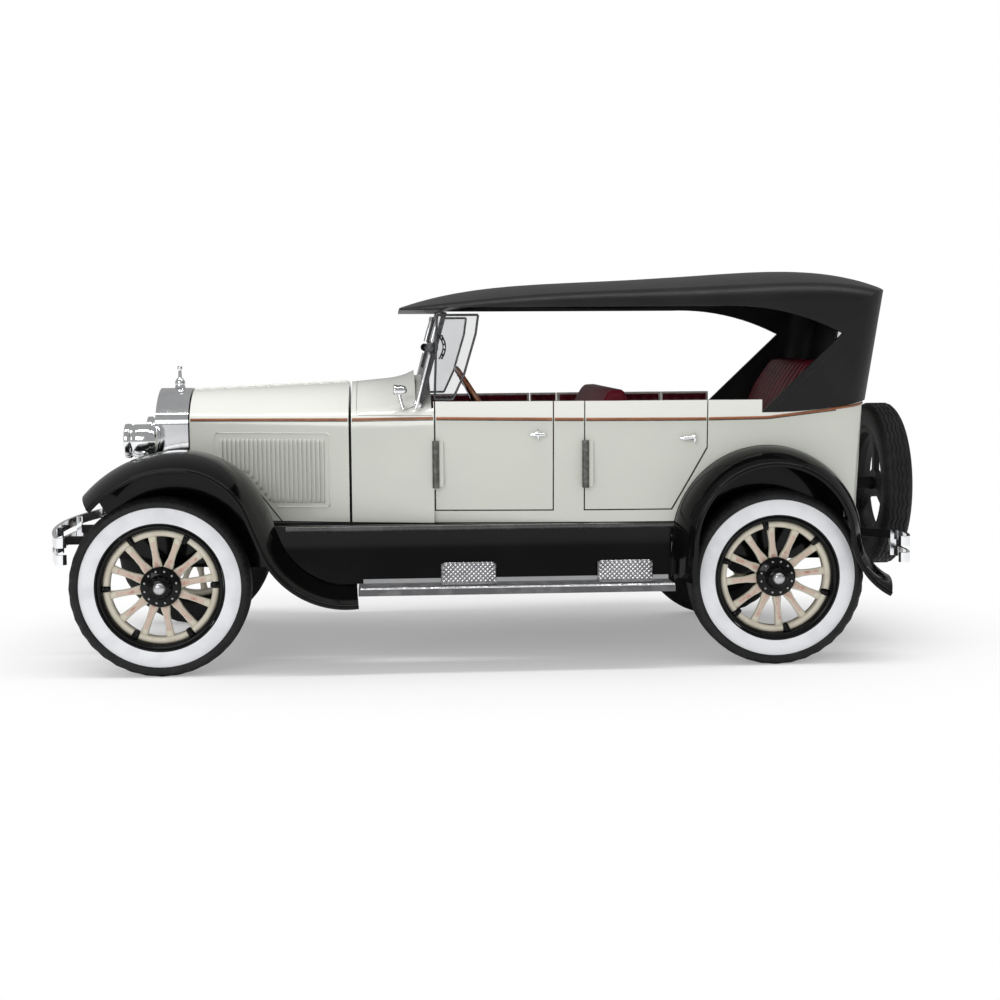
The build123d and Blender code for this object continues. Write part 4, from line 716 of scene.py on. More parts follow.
# %% Louvres with their border
LOUVRE_RUN = (13.2, 42.1)
LOUVRE_Z = (42.9, 60.2)
LOUVRES = 24
# the feet of the first louvres stay above the fender, then they follow its slope down
FOOT_HIGH, FOOT_TURN, FOOT_SLOPE = 50.9, 20.4, 1.25
# share of the pitch, lift
LOUVRE_SECTION = ((0.06, 0.0), (0.25, 0.16), (0.5, 0.4), (0.72, 0.52), (0.86, 0.5), (0.9, 0.0))
BORDER = (12.1, 43.5, 41.9, 61.8)     # first and last station, lower and upper height
BORDER_SECTION = ((-0.35, -0.02), (-0.15, 0.15), (0.15, 0.15), (0.35, -0.02))


def border_loop():
    """Stations and heights round the louvres, from the front down to the fender."""
    s0, s1, z0, z1 = BORDER
    return ([(s0, z) for z in steps(51.2, z1 - 0.7, 6)]
            + [(s, z1) for s in steps(s0 + 0.6, s1 - 0.8, 24)] + [(s1 - 0.2, z1 - 0.25), (s1, z1 - 0.9)]
            + [(s1, z) for z in steps(z1 - 1.6, z0 + 0.9, 10)] + [(s1 - 0.3, z0 + 0.2)]
            + [(s, z0) for s in steps(s1 - 1.0, 29.0, 10)])


def louvres(side_name, side):
    """All the louvres and the border of one bonnet side, as one joined piece."""
    tree = skin_finder(f"bonnet_{side_name}", "body_shell")
    shape = Shape()
    pitch = (LOUVRE_RUN[1] - LOUVRE_RUN[0]) / LOUVRES
    top = LOUVRE_Z[1]
    for i in range(LOUVRES):
        first = LOUVRE_RUN[0] + pitch * i
        foot = max(LOUVRE_Z[0], FOOT_HIGH - max(0.0, first - FOOT_TURN) * FOOT_SLOPE)
        heights = ((foot, 0.0), (foot + 0.35, 0.8), (foot + 1.0, 1.0), ((foot + top) / 2, 1.0),
                   (top - 1.0, 1.0), (top - 0.35, 0.8), (top, 0.0))
        rows = []
        for share, lift in LOUVRE_SECTION:
            station = first + pitch * share
            rows.append([(at(station), side * (skin_y(tree, station, z, side) - 0.02 + lift * rise), z)
                         for z, rise in heights])
        shape.grid(rows)
        # the drop faces at the louvre's mouth take the grey of painted shade
        mouth = len(heights) - 1
        shape.finish_of[-mouth:] = [1] * mouth
    rows = []
    for s, z in border_loop():
        y = skin_y(tree, s, z, side)
        rows.append([(at(s + a), side * (y + lift), z + a * 0.4) for a, lift in BORDER_SECTION])
    shape.grid(rows)
    piece(f"louvres_{side_name}", shape, (ENAMEL, PAINTED_SHADE), f"bonnet_{side_name}")


for side_name, side in SIDES:
    louvres(side_name, side)
print("louvre faces:", MADE["louvres_left"])

# %% [markdown]
# The bonnet's two halves meet at a piano hinge. Its knuckles show as a row of short barrels along the centre.
# The radiator's core is a honeycomb behind vertical fins. Both are rows of one small form.

# %% Piano hinge along the bonnet, fins in front of the core
BONNET_RIDGE = ((5.0, 73.0), (49.0, 74.9))     # station and height
HINGE_START, HINGE_PITCH, HINGE_GAP, HINGE_BARRELS = 5.1, 4.34, 0.3, 10
shape = Shape()
for i in range(HINGE_BARRELS):
    first, last = HINGE_START + HINGE_PITCH * i, HINGE_START + HINGE_PITCH * (i + 1) - HINGE_GAP
    z0, z1 = (along(BONNET_RIDGE, s) for s in (first, last))
    span = last - first
    shape.turned([(0.02, 0), (0.40, 0), (0.47, 0.15), (0.47, span - 0.15), (0.40, span), (0.02, span)],
                 (at(first), 0, z0), (at(last) - at(first), 0, z1 - z0), 12)
hinge = piece("bonnet_piano_hinge", shape, (ENAMEL,), "root")
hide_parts("bonnet_rod")

# fins: how many, half thickness, how far they stand out
UPRIGHT, CROSS = (34, 0.13, 0.45), (12, 0.09, 0.25)
FIN_SUNK = 0.1
core_low, core_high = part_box("radiator_core")
core_face = core_high.x / MM
shape = Shape()
count, half, stands = UPRIGHT
for y in steps(core_low.y / MM + 0.6, core_high.y / MM - 0.6, count):
    foot, head = steps(core_low.z / MM + 0.3, core_high.z / MM - 0.4 - 0.02 * y * y, 2)
    shape.block((core_face - FIN_SUNK, y - half, foot), (core_face + stands, y + half, head))
count, half, stands = CROSS
for z in steps(core_low.z / MM + 1.4, core_high.z / MM - 6.5, count):
    shape.block((core_face - FIN_SUNK, core_low.y / MM + 0.4, z - half),
                (core_face + stands, core_high.y / MM - 0.4, z + half))
piece("radiator_fins", shape, (CHASSIS,), "root", smooth=False)
print("hinge and fins:", MADE["bonnet_piano_hinge"], MADE["radiator_fins"])

# %% [markdown]
# Door furniture: a boat-shaped handle crossed by a short spike, and an exposed knurled hinge strip. The strip
# is a barrel with fine rings, because the knurl catches the light as a row of dots.

# %% Door handles and hinge strips
# station, height, the spike's station
HANDLES = {"front": (98.6, 61.4, 98.6), "rear": (138.3, 60.2, 140.1)}
BOAT = ((0.02, -2.4), (0.22, -2.2), (0.48, -1.4), (0.58, -0.4), (0.58, 0.6), (0.46, 1.5), (0.2, 2.2),
        (0.02, 2.4))
SPIKE = ((0.02, -1.55), (0.12, -1.4), (0.42, -0.5), (0.42, 0.5), (0.12, 1.4), (0.02, 1.55))
ROSE = ((0.85, -0.1), (0.8, 0.2), (0.42, 0.35), (0.4, 1.3))
BOAT_STANDS, SPIKE_STANDS = 1.35, 1.4
HINGE_AXES = {"front": (71.7, 32.48), "rear": (111.2, 36.33)}     # station and distance from the middle plane
HINGE_R, HINGE_FOOT, HINGE_HEAD, HINGE_RINGS = 0.98, 47.3, 59.9, 30
KNURL = ((0.92, 0.02), (1.0, 0.1), (1.0, 0.26), (0.92, 0.34))     # share of the radius, rise within a ring
for side_name, side in SIDES:
    for door, (station, z, spike) in HANDLES.items():
        y = skin_y(skin_finder(f"{door}_door_{side_name}"), station, z, side)
        shape = Shape()
        shape.turned(BOAT, (at(station), side * (y + BOAT_STANDS), z), (1, 0, 0), 14)
        shape.turned(SPIKE, (at(spike), side * (y + SPIKE_STANDS), z), (0, 0, 1), 10)
        shape.turned(ROSE, (at(spike), side * y, z), (0, side, 0), 14)
        handle = piece(f"{door}_handle_{side_name}_plated", shape, (CHROME,), f"{door}_door_{side_name}")
        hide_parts(f"{door}_door_handle_{side_name}")
        station, y = HINGE_AXES[door]
        profile = [(0.02, HINGE_FOOT)]
        for i in range(HINGE_RINGS):
            low = HINGE_FOOT + (HINGE_HEAD - HINGE_FOOT) * i / HINGE_RINGS
            profile += [(HINGE_R * ring, low + rise) for ring, rise in KNURL]
        shape = Shape()
        shape.turned(profile + [(0.02, HINGE_HEAD)], (at(station), side * y, 0), (0, 0, 1), 20)
        piece(f"{door}_hinge_strip_{side_name}", shape, (HINGE_METAL,), "root")
print("handles:", sum("handle" in name for name in MADE))

# %% [markdown]
# The cabin is moulded in burgundy: pleated seats that follow the frame's seat profiles, and padded linings on
# the doors. A pleat is a shallow scallop, so the seat's width is divided into columns, and the points between
# two seams stand a little proud of the seams.

# %% Seats with pleats
SEAT_PROFILES = {
    # side profile as station and height, half width
    "front_seat": (((93.5, 38.2), (92.5, 52.0), (95.5, 53.4), (108.5, 50.5), (114.5, 66.0), (118.5, 72.8),
                    (122.5, 73.0), (124.5, 68.0), (122.0, 38.2)), 29.2),
    "rear_seat": (((145.0, 38.2), (144.0, 53.0), (147.0, 54.4), (163.0, 51.5), (171.0, 72.0), (176.5, 80.0),
                   (180.5, 80.5), (183.0, 74.0), (182.0, 38.2)), 30.2),
}
PLEATS, PLEAT_POINTS = 14, 6
SEAM_DEPTH, END_EASE = 0.45, 0.9


def rounded(loop, rounds=2):
    """A closed loop with its corners cut again and again."""
    for _ in range(rounds):
        loop = [tuple(a[k] + (b[k] - a[k]) * share for k in range(2))
                for a, b in zip(loop, loop[1:] + loop[:1]) for share in (0.14, 0.86)]
    return loop


for name, (profile, half) in SEAT_PROFILES.items():
    loop = rounded(list(profile))
    columns = PLEATS * PLEAT_POINTS
    rows = []
    for i in range(columns + 1):
        y = -half + 2 * half * i / columns
        swell = abs(math.sin(math.pi * i / PLEAT_POINTS))
        inset = SEAM_DEPTH * (1 - swell ** 0.6) + (END_EASE if i in (0, columns) else 0.0)
        row = []
        for (s0, z0), (s1, z1) in zip(loop, loop[1:] + loop[:1]):
            length = math.hypot(s1 - s0, z1 - z0) or 1.0
            row.append((at(s0 + (z1 - z0) / length * inset), y, z0 - (s1 - s0) / length * inset))
        rows.append(row)
    shape = Shape()
    shape.closed(rows)
    seat = piece(f"{name}_pleated", shape, (BURGUNDY,), "root")
    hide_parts(name)
print("seat faces:", MADE["front_seat_pleated"])

# %% Linings inside the doors and the tub
LININGS = (
    # body, node, first and last station
    ("front_door_{side}", "front_door_{side}", 72.6, 101.8),
    ("root", "body_shell", 103.2, 110.6),
    ("rear_door_{side}", "rear_door_{side}", 112.0, 142.6),
    ("root", "body_shell", 144.2, 157.4),
)
# The rear doors' lower corner is cut away for the fender, and their lining stays inside it.
REAR_CORNER = ((111.0, 44.0), (133.0, 44.0), (134.6, 45.6), (138.8, 52.4), (143.0, 60.6))
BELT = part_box("front_door_left")[1].z / MM
LINING_ROWS = ((44.0, 0.1), (44.6, 0.8), (50.0, 1.0), (56.0, 1.0), (BELT - 6.5, 1.0), (BELT - 5.9, 0.6),
               (BELT - 5.3, 1.3), (BELT - 2.9, 1.6), (BELT - 1.1, 1.2), (BELT - 0.55, 0.4))
INSIDE_Y, PANEL_THICK, LINING_PLEAT = 20, 2.3, 3.2
for side_name, side in SIDES:
    for number, (body, node, first, last) in enumerate(LININGS):
        tree = skin_finder(node.format(side=side_name))
        rows = []
        for i, station in enumerate(steps(first, last, max(9, int((last - first) / 0.45)))):
            swell = 0.5 + 0.35 * abs(math.sin(math.pi * (station - first) / LINING_PLEAT))
            row = []
            for z, lift in LINING_ROWS:
                z = max(z, along(REAR_CORNER, station)) if node.startswith("rear_door") else z
                hit = tree.ray_cast(Vector((at(station), side * INSIDE_Y, z)) * MM, Vector((0, side, 0)))[0]
                inner = abs(hit.y) / MM if hit else skin_y(tree, station, z, side) - PANEL_THICK
                row.append((at(station), side * (inner - swell * lift * (1.0 if 0 < i else 0.3)), z))
            rows.append(row)
        shape = Shape()
        shape.grid(rows)
        piece(f"lining_{side_name}_{number}", shape, (BURGUNDY,), body.format(side=side_name))
print("linings:", sum(name.startswith("lining") for name in MADE))

# %% [markdown]
# The steering wheel is moulded in one and painted in two colours: a wood-brown rim with finger grips behind,
# and plated spokes. The dash has three plain round gauges. Neither carries any lettering.

# %% Steering wheel and gauges
STEER_CENTRE = Vector((at(84.5), 15.0, 68.5))
STEER_TILT = math.radians(32)
STEER_R, STEER_HALF, STEER_THICK = 12.0, 0.72, 0.68
GRIPS, GRIP_DEEP = 36, 0.06
STEER_SPOKE = ((1.2, -0.9), (3.5, -0.8), (8.0, -0.35), (11.6, 0.0))     # distance from the hub, height
STEER_HUB = ((0.02, -2.0), (1.1, -2.0), (1.3, -1.6), (1.8, -1.2), (1.9, -0.4), (1.5, 0.1), (0.8, 0.4),
             (0.3, 0.6), (0.02, 0.6))
steer_axis = Vector((-math.cos(STEER_TILT), 0, math.sin(STEER_TILT)))
steer_side = Vector((0, 1, 0))
steer_up = steer_axis.cross(steer_side)


def steer_out(turn):
    """A direction in the plane of the steering wheel."""
    return steer_side * math.cos(turn) + steer_up * math.sin(turn)


shape = Shape()
rows = []
for turn in circle(144):
    out = steer_out(turn)
    grip = GRIP_DEEP * math.cos(turn * GRIPS)
    rows.append([tuple(STEER_CENTRE + out * (STEER_R + STEER_HALF * math.cos(a))
                       + steer_axis * (STEER_THICK * math.sin(a) + (grip if math.sin(a) < 0 else 0)))
                 for a in circle(12)])
shape.grid(rows, 0, close_rows=True, close_columns=True)
for i in range(4):
    out = steer_out(math.radians(45 + 90 * i))
    shape.tube([STEER_CENTRE + out * r + steer_axis * lift for r, lift in STEER_SPOKE],
               [0.75, 0.62, 0.5, 0.5], 10, 1, flat=0.6)
shape.turned(STEER_HUB, STEER_CENTRE, steer_axis, 24, 1)
wheel_piece = piece("steering_wheel_painted", shape, (WOOD_BROWN, CHROME), "steering_wheel")
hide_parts("steering_wheel")
GAUGE_STATION = FRONT_AXLE_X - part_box("dashboard")[0].x / MM
GAUGES = ((0.0, 66.6, 2.6), (-7.0, 66.2, 1.9), (6.6, 66.2, 1.5))     # distance to the left, height, radius
REARWARD = (-1, 0, 0)
shape = Shape()
for y, z, r in GAUGES:
    place = (at(GAUGE_STATION), y, z)
    shape.turned([(r + 0.35, -0.1), (r + 0.35, 0.35), (r + 0.1, 0.5), (r - 0.15, 0.35), (r - 0.15, 0.2)],
                 place, REARWARD, 32, 0)
    shape.turned([(r - 0.1, 0.2), (0.02, 0.2)], place, REARWARD, 32, 1)
    shape.turned([(0.3, 0.2), (0.25, 0.4), (0.02, 0.42)], place, REARWARD, 12, 0)
piece("dash_gauges", shape, (CHROME, WHITE_BAND), "root")
print("steering wheel faces:", MADE["steering_wheel_painted"])

# %% [markdown]
# Headlamps are drums with a rolled rim in front and a domed back. Inside the glass sits a dished reflector
# with a bulb. The small cowl lamps are the same in miniature, on curved stalks.

# %% Headlamp drums, reflectors and cowl lamps
LAMP_FRONT, LAMP_LENGTH, LAMP_Y, LAMP_Z, LAMP_R = -10.9, 9.0, 21.0, 60.0, 4.6
LAMP_DRUM = ((3.95, 0.15), (4.1, 0.02), (4.5, 0.0), (4.6, 0.35), (4.6, 1.25), (4.45, 1.5), (4.2, 1.6),
             (4.15, 2.2), (4.4, 2.4), (4.45, 4.0), (4.45, 6.3), (4.3, 6.8), (4.1, 7.0), (4.1, 7.3),
             (3.7, 8.1), (2.6, 8.75), (0.02, LAMP_LENGTH))
REFLECTOR = ((3.95, 0.7), (3.4, 1.5), (2.3, 2.5), (1.1, 3.1), (0.02, 3.2))
BULB = ((0.55, 3.1), (0.6, 1.9), (0.35, 1.5), (0.02, 1.4))
LAMP_FOOT = ((1.5, 0), (1.45, 0.4), (0.9, 0.7), (0.85, 1.6))
BAR_HALF, BAR_R, BAR_SHARE, BAR_DROP = 25.3, 0.85, 0.55, 0.54
shape = Shape()
for side in (1, -1):
    centre = (at(LAMP_FRONT), side * LAMP_Y, LAMP_Z)
    shape.turned(LAMP_DRUM, centre, REARWARD, 48, 0)
    shape.turned(REFLECTOR, centre, REARWARD, 40, 0)
    shape.turned(BULB, centre, REARWARD, 14, 1)
bar_x, bar_z = at(LAMP_FRONT + LAMP_LENGTH * BAR_SHARE), LAMP_Z - LAMP_R - BAR_DROP
shape.tube([(bar_x, y, bar_z) for y in steps(-BAR_HALF, BAR_HALF, 12)], BAR_R, 12)
for side in (1, -1):
    shape.turned(LAMP_FOOT, (bar_x, side * LAMP_Y, bar_z - 0.4), (0, 0, 1), 16)
lamps = piece("headlamps_plated", shape, (CHROME, WHITE_BAND), "root")
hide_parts("headlamps")
COWL_LAMP = (60.7, 29.5, 73.2)     # station, distance from the middle plane, height
COWL_DRUM = ((1.15, 0.3), (1.2, 0.0), (1.5, 0.05), (1.5, 0.7), (1.35, 0.85), (1.35, 2.4), (1.1, 3.1),
             (0.5, 3.5), (0.02, 3.6))
COWL_GLASS = ((1.15, 0.35), (0.6, 0.15), (0.02, 0.1))
COWL_STALK = ((62.3, 29.5, 72.2), (62.5, 29.9, 70.8), (62.9, 30.3, 69.4), (63.3, 30.4, 68.3))
shape = Shape()
for side in (1, -1):
    centre = (at(COWL_LAMP[0]), side * COWL_LAMP[1], COWL_LAMP[2])
    shape.turned(COWL_DRUM, centre, REARWARD, 28, 0)
    shape.turned(COWL_GLASS, centre, REARWARD, 24, 1)
    shape.tube([(at(s), side * y, z) for s, y, z in COWL_STALK], [0.6, 0.5, 0.5, 0.75], 12)
cowl_lamps = piece("cowl_lamps_plated", shape, (CHROME, WHITE_BAND), "root")
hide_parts("cowl_lamps")
print("lamp faces:", MADE["headlamps_plated"])

# %% [markdown]
# The windscreen stands on plated stanchions. Each has a flattened bar from its foot on the cowl, a black
# clamp knob, a short bright tube above it and a curved slotted bracket that holds the wind wing.

# %% Stanchions and slotted brackets
POST_Y = 30.0
# station, distance out from POST_Y, height
POST = ((66.6, 0.3, 68.4), (67.0, 0.35, 69.6), (68.7, 0.1, 76.2), (70.4, 0.0, 82.6))
UPPER_POST = ((71.1, 86.0), (71.8, 88.6), (72.9, 92.2), (73.0, 93.4))
POST_STUD = ((1.15, -0.2), (1.1, 0.25), (0.7, 0.4), (0.02, 0.45))
CLAMP_KNOB = ((1.05, -0.9), (1.2, -0.5), (1.2, 0.5), (0.95, 0.9), (0.4, 1.1), (0.02, 1.1))
BRACKET_FOOT, BRACKET_BOW, BRACKET_RISE = (73.2, 81.4), 1.1, 6.4
BRACKET_OUT, BRACKET_HALF = 0.55, 0.2
SLOTTED, SOLID = ((-0.45, -0.2), (0.2, 0.45)), ((-0.45, 0.45),)
bow = [(BRACKET_FOOT[0] + BRACKET_BOW * math.sin(math.pi * k), BRACKET_FOOT[1] + BRACKET_RISE * k)
       for k in steps(0, 1, 15)]
shape = Shape()
for side in (1, -1):
    y = side * POST_Y
    shape.tube([(at(s), y + side * out, z) for s, out, z in POST], [0.95, 0.72, 0.62, 0.7], 12, 0, flat=0.7)
    shape.turned(POST_STUD, (at(67.0), y + side * 0.4, 69.4), (0, side, 0), 16, 0)
    shape.turned(CLAMP_KNOB, (at(70.6), y, 84.3), (0, side, 0), 14, 1)
    shape.tube([(at(s), y, z) for s, z in UPPER_POST], 0.78, 12, 0)
    middle = y + side * BRACKET_OUT
    for i, ((s0, z0), (s1, z1)) in enumerate(zip(bow, bow[1:])):
        for near, far in SLOTTED if i % 3 != 2 else SOLID:
            shape.block((at(max(s0, s1) + far), middle - BRACKET_HALF, z0),
                        (at(min(s0, s1) + near), middle + BRACKET_HALF, z1))
stanchions = piece("stanchions_plated", shape, (CHROME, SCREEN_GREY), "root")
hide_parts("screen_stanchions")
print("stanchion faces:", MADE["stanchions_plated"])

# %% [markdown]
# The moulded top imitates sewn leathercloth only along its quarters: a raised welt follows the opening a
# little inside its edge. It is a slim tube laid on the top's own skin.

# %% Welts beside the quarter openings
WELT_RUN = ((160.4, 66.9), (182.6, 87.4))     # station and height of both ends
WELT_R, WELT_SUNK = 0.16, 0.02
TOP_SKIN = skin_finder("moulded_top")
for side_name, side in SIDES:
    path = []
    for share in steps(0.06, 0.96, 24):
        station, z = (WELT_RUN[0][k] + (WELT_RUN[1][k] - WELT_RUN[0][k]) * share for k in range(2))
        path.append((at(station), side * (skin_y(TOP_SKIN, station, z, side) - WELT_SUNK), z))
    shape = Shape()
    shape.tube(path, WELT_R, 8)
    piece(f"quarter_welt_{side_name}", shape, (TOP,), "root")
print("welts:", sum("welt" in name for name in MADE))

# %% [markdown]
# The wind wings beside the windscreen are flat clear plates, and a clear plate almost vanishes in soft light.
# Thin charcoal rods along its outline are painted shade: they stand for the dark edge that a clear plate
# shows, by which the eye finds it.

# %% Painted shade along the edges of the wind wings
WING_OUTLINE = ((71.6, 70.8), (72.4, 93.0), (83.3, 93.0), (82.6, 88.0), (79.4, 77.2), (76.4, 70.8))
WING_Y, WING_EDGE = 31.0, 0.32
# charcoal rods as painted shade along each wing's edge
shape = Shape()
for side in (1, -1):
    for (s0, z0), (s1, z1) in zip(WING_OUTLINE, WING_OUTLINE[1:] + WING_OUTLINE[:1]):
        shape.tube([(at(s0), side * WING_Y, z0), (at(s1), side * WING_Y, z1)], WING_EDGE, 8)
piece("wing_edge_painted_shade", shape, (SCREEN_GREY,), "root")
print("edge faces:", MADE["wing_edge_painted_shade"])

# %% [markdown]
# Below the doors a rolled lip caps the splash apron, and the running board is edged with bright strips. The
# lip is black enamel, made dark grey as painted highlight. The step plates are knurled: each face is a grid
# whose points are pushed out in a diamond pattern.

# %% Apron lip and board strips
LIP_RUN, LIP_Z, LIP_R, LIP_SUNK = (32.0, 135.5), 37.0, 0.85, 0.3
APRON_Z, APRON_Y = 36.6, 35.0     # where the apron's skin is looked for, and its place if no ray finds it
BOARD_RUN, STRIP_RUN = (51.4, 133.2), (52.2, 133.2)
# sections as distance from the board's outer edge, from its inner edge and from a rib's middle, and height
EDGE_SECTION = ((-0.9, 22.62), (-0.85, 22.95), (-0.3, 23.0), (-0.02, 22.7), (0.0, 21.4), (-0.3, 20.95))
STRIP_SECTION = ((0.1, 22.6), (0.1, 23.7), (0.3, 23.95), (0.7, 23.9), (0.9, 23.5), (1.0, 22.6))
RIB_SECTION = ((-0.22, 22.58), (-0.12, 22.85), (0.12, 22.85), (0.22, 22.58))
RIBS, RIB_INSET, RIB_ROOM = 9, 1.7, 3.2


def drawn(shape, section, y, run, side, number=0):
    """A section drawn straight along the car at distance y, between the two stations of run."""
    shape.grid([[(at(s), side * (y + a), z) for a, z in section] for s in run], number)


for side_name, side in SIDES:
    tree = skin_finder(f"splash_apron_{side_name}")
    shape = Shape()
    rows = []
    for station in steps(*LIP_RUN, 70):
        y = skin_y(tree, station, APRON_Z, side, APRON_Y)
        rows.append([(at(station), side * (y - LIP_SUNK + LIP_R * math.sin(turn)),
                      LIP_Z + LIP_R * math.cos(turn)) for turn in steps(-0.2, math.pi, 9)])
    shape.grid(rows)
    shape.fan(rows[0])
    shape.fan(rows[-1][::-1])
    piece(f"apron_lip_{side_name}", shape, (LIP_PAINTED_HIGHLIGHT,), "root")
    board_low, board_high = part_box(f"running_board_{side_name}")
    inner, outer = sorted((abs(board_low.y) / MM, abs(board_high.y) / MM))
    shape = Shape()
    drawn(shape, EDGE_SECTION, outer, BOARD_RUN, side)
    drawn(shape, STRIP_SECTION, inner, STRIP_RUN, side)
    for k in range(RIBS):
        y = inner + RIB_INSET + k * (outer - inner - RIB_ROOM) / (RIBS - 1)
        drawn(shape, RIB_SECTION, y, BOARD_RUN, side, 1)
    piece(f"board_strips_{side_name}", shape, (CHROME, MAT_GREY), "root", smooth=False)
print("board faces:", MADE["board_strips_left"])

# %% Knurled step plates
PLATES = ((79.9, 14.6), (121.6, 14.8))     # station of the middle, length
PLATE_FOOT = 7.0     # how far the plate's foot reaches out over the board
PLATE_Z, PLATE_CORNER, PLATE_THICK = (22.75, 28.0), 1.3, 0.7
KNURLS_ACROSS, KNURLS_UP, KNURL_STANDS, KNURL_RISE = 72, 26, 0.16, 0.2


def knurled(shape, x0, x1, y, side):
    """A rounded plate whose face is a grid of small diamonds."""
    z0, z1 = PLATE_Z
    rows = []
    for i in range(KNURLS_ACROSS + 1):
        share = i / KNURLS_ACROSS
        inset = max(0.0, PLATE_CORNER - min(share, 1 - share) * (x1 - x0))
        drop = PLATE_CORNER - math.sqrt(max(0.0, PLATE_CORNER ** 2 - inset ** 2))
        row = []
        for j in range(KNURLS_UP + 1):
            z = z0 + (z1 - drop - z0) * j / KNURLS_UP
            edge = i in (0, KNURLS_ACROSS) or j in (0, KNURLS_UP)
            diamond = abs((i % 6) / 3 - 1) + abs((j % 6) / 3 - 1)
            stands = 0.0 if edge else KNURL_STANDS + KNURL_RISE * (1 - abs(diamond - 1))
            row.append((x0 + (x1 - x0) * share, side * (y + stands), z))
        rows.append(row)
    shape.grid(rows)
    crest = [row[-1] for row in rows]
    shape.grid([[(p[0], side * (y - PLATE_THICK), p[2]) for p in crest], crest])


shape = Shape()
PLATE_Y = abs(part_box("step_plates")[0].y) / MM - PLATE_FOOT
for middle, length in PLATES:
    x0, x1 = at(middle) - length / 2, at(middle) + length / 2
    for side_name, side in SIDES:
        knurled(shape, x0, x1, PLATE_Y + 0.75, side)
        near, far = sorted((side * PLATE_Y, side * (PLATE_Y + 0.74)))
        shape.block((x0, near, 22.7), (x1, far, 27.6), ease=0.3)
        shape.grid([[(x0 + length * i / 48, side * (PLATE_Y + 0.9 + k * 1.2), 22.95 + 0.12 * ((i + k) % 2))
                     for k in range(6)] for i in range(49)])
plates = piece("step_plates_knurled", shape, (SILVER,), "root", smooth=False)
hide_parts("step_plates")
print("plate faces:", MADE["step_plates_knurled"])

# %% [markdown]
# Behind each wheel a black valance closes the space between the fender's inner edge and the frame, so only a
# patch low down shows through the spokes. It hangs from the fender: a ray from below finds the underside.

# %% Valances behind the wheels
VALANCE_FEET = {
    # distance from the middle plane, then station and height of the lower edge
    "front": (25.9, ((-18.0, 44.5), (-12.0, 34.0), (-6.0, 26.5), (33.0, 25.8), (37.0, 30.0))),
    "rear": (32.2, ((139.0, 27.0), (182.0, 27.0))),
}
for axle, (y, feet) in VALANCE_FEET.items():
    for side_name, side in SIDES:
        tree = skin_finder(f"{axle}_fender_{side_name}")
        rows = []
        for station in steps(feet[0][0], feet[-1][0], 40):
            foot = along(feet, station)
            hit = tree.ray_cast(Vector((at(station), side * (y + 0.5), foot + 1)) * MM, Vector((0, 0, 1)))[0]
            if hit:
                rows.append([(at(station), side * y, foot + (hit.z / MM - 0.05 - foot) * share)
                             for share in steps(0, 1, 7)])
        shape = Shape()
        shape.grid(rows)
        piece(f"{axle}_valance_{side_name}", shape, (BLACK,), "root")
print("valances:", sum("valance" in name for name in MADE))

# %% [markdown]
# The cowl sweeps up to meet the windscreen's foot, and a fine groove frames its upper panel. The sweep is a
# thin skin over the frame's cowl, lifted more and more towards the rear. The groove is a thin grey strip laid
# on the skin: painted shade, not a cut.

# %% Cowl sweep, and painted shade for the panel groove
SWEEP_START, SWEEP_END, SWEEP_LENGTH = 59.5, 66.6, 7.1
SWEEP_RISE, SWEEP_HALF, COWL_HALF = 1.5, 28.5, 34
GROOVE_Z, GROOVE_STATION, GROOVE_RUN = 66.5, 50.8, (70.8, 51.2)
rows = []
for station in steps(SWEEP_START, SWEEP_END, 10):
    lift = SWEEP_RISE * ((station - SWEEP_START) / SWEEP_LENGTH) ** 2.2
    rows.append([(at(station), y, skin_z(SHELL, station, y) + 0.03 + lift * (1 - abs(y) / COWL_HALF) ** 0.5)
                 for y in steps(-SWEEP_HALF, SWEEP_HALF, 41)])
shape = Shape()
shape.grid(rows)
shape.grid([[(x - 0.1, y, skin_z(SHELL, 66.8, y)) for x, y, z in rows[-1]], rows[-1]])
piece("cowl_sweep", shape, (ENAMEL,), "root")
# the groove is a strip of grey lying on the skin, painted shade where the groove would be dark
shape = Shape()
for side in (1, -1):
    rows = []
    for s in steps(*GROOVE_RUN, 16):
        y = skin_y(SHELL, s, GROOVE_Z, side)
        rows.append([(at(s), side * (y + lift), GROOVE_Z + a)
                     for a, lift in ((-0.12, 0.03), (0, 0.04), (0.12, 0.03))])
    shape.grid(rows)
rows = []
for y in steps(-27.0, 27.0, 61):
    rows.append([(at(GROOVE_STATION + a), y, skin_z(SHELL, GROOVE_STATION + a, y) + 0.035)
                 for a in (-0.1, 0.0, 0.1)])
shape.grid(rows)
piece("cowl_groove_painted_shade", shape, (PAINTED_SHADE,), "root")
print("cowl faces:", MADE["cowl_sweep"] + MADE["cowl_groove_painted_shade"])

# %% [markdown]
# The photo is taken from the car's left, a little ahead of the middle, with a long lens about half a metre
# away. The camera's place and its three turns were found by lining up the wheels, so they are plain numbers.

# %% Camera
CAMERA_PLACE = Vector((27.93, 456.0, 86.26)) * MM
YAW, PITCH, ROLL = -0.0723, -0.0994, 0.0060
FILM_WIDTH, FOCAL_LENGTH = 36.0, 57.636
ahead, right, up = Vector((0, -1, 0)), Vector((-1, 0, 0)), Vector((0, 0, 1))
turn = Matrix.Rotation(YAW, 3, Vector((0, 0, 1)))
ahead, right = turn @ ahead, turn @ right
turn = Matrix.Rotation(PITCH, 3, right)
ahead, up = turn @ ahead, turn @ up
turn = Matrix.Rotation(ROLL, 3, ahead)
right, up = turn @ right, turn @ up
lens = bpy.data.cameras.new("photo_lens")
lens.sensor_width, lens.lens = FILM_WIDTH, FOCAL_LENGTH
lens.clip_start, lens.clip_end = 0.01, 20.0
camera = bpy.data.objects.new("photo_camera", lens)
bpy.context.collection.objects.link(camera)
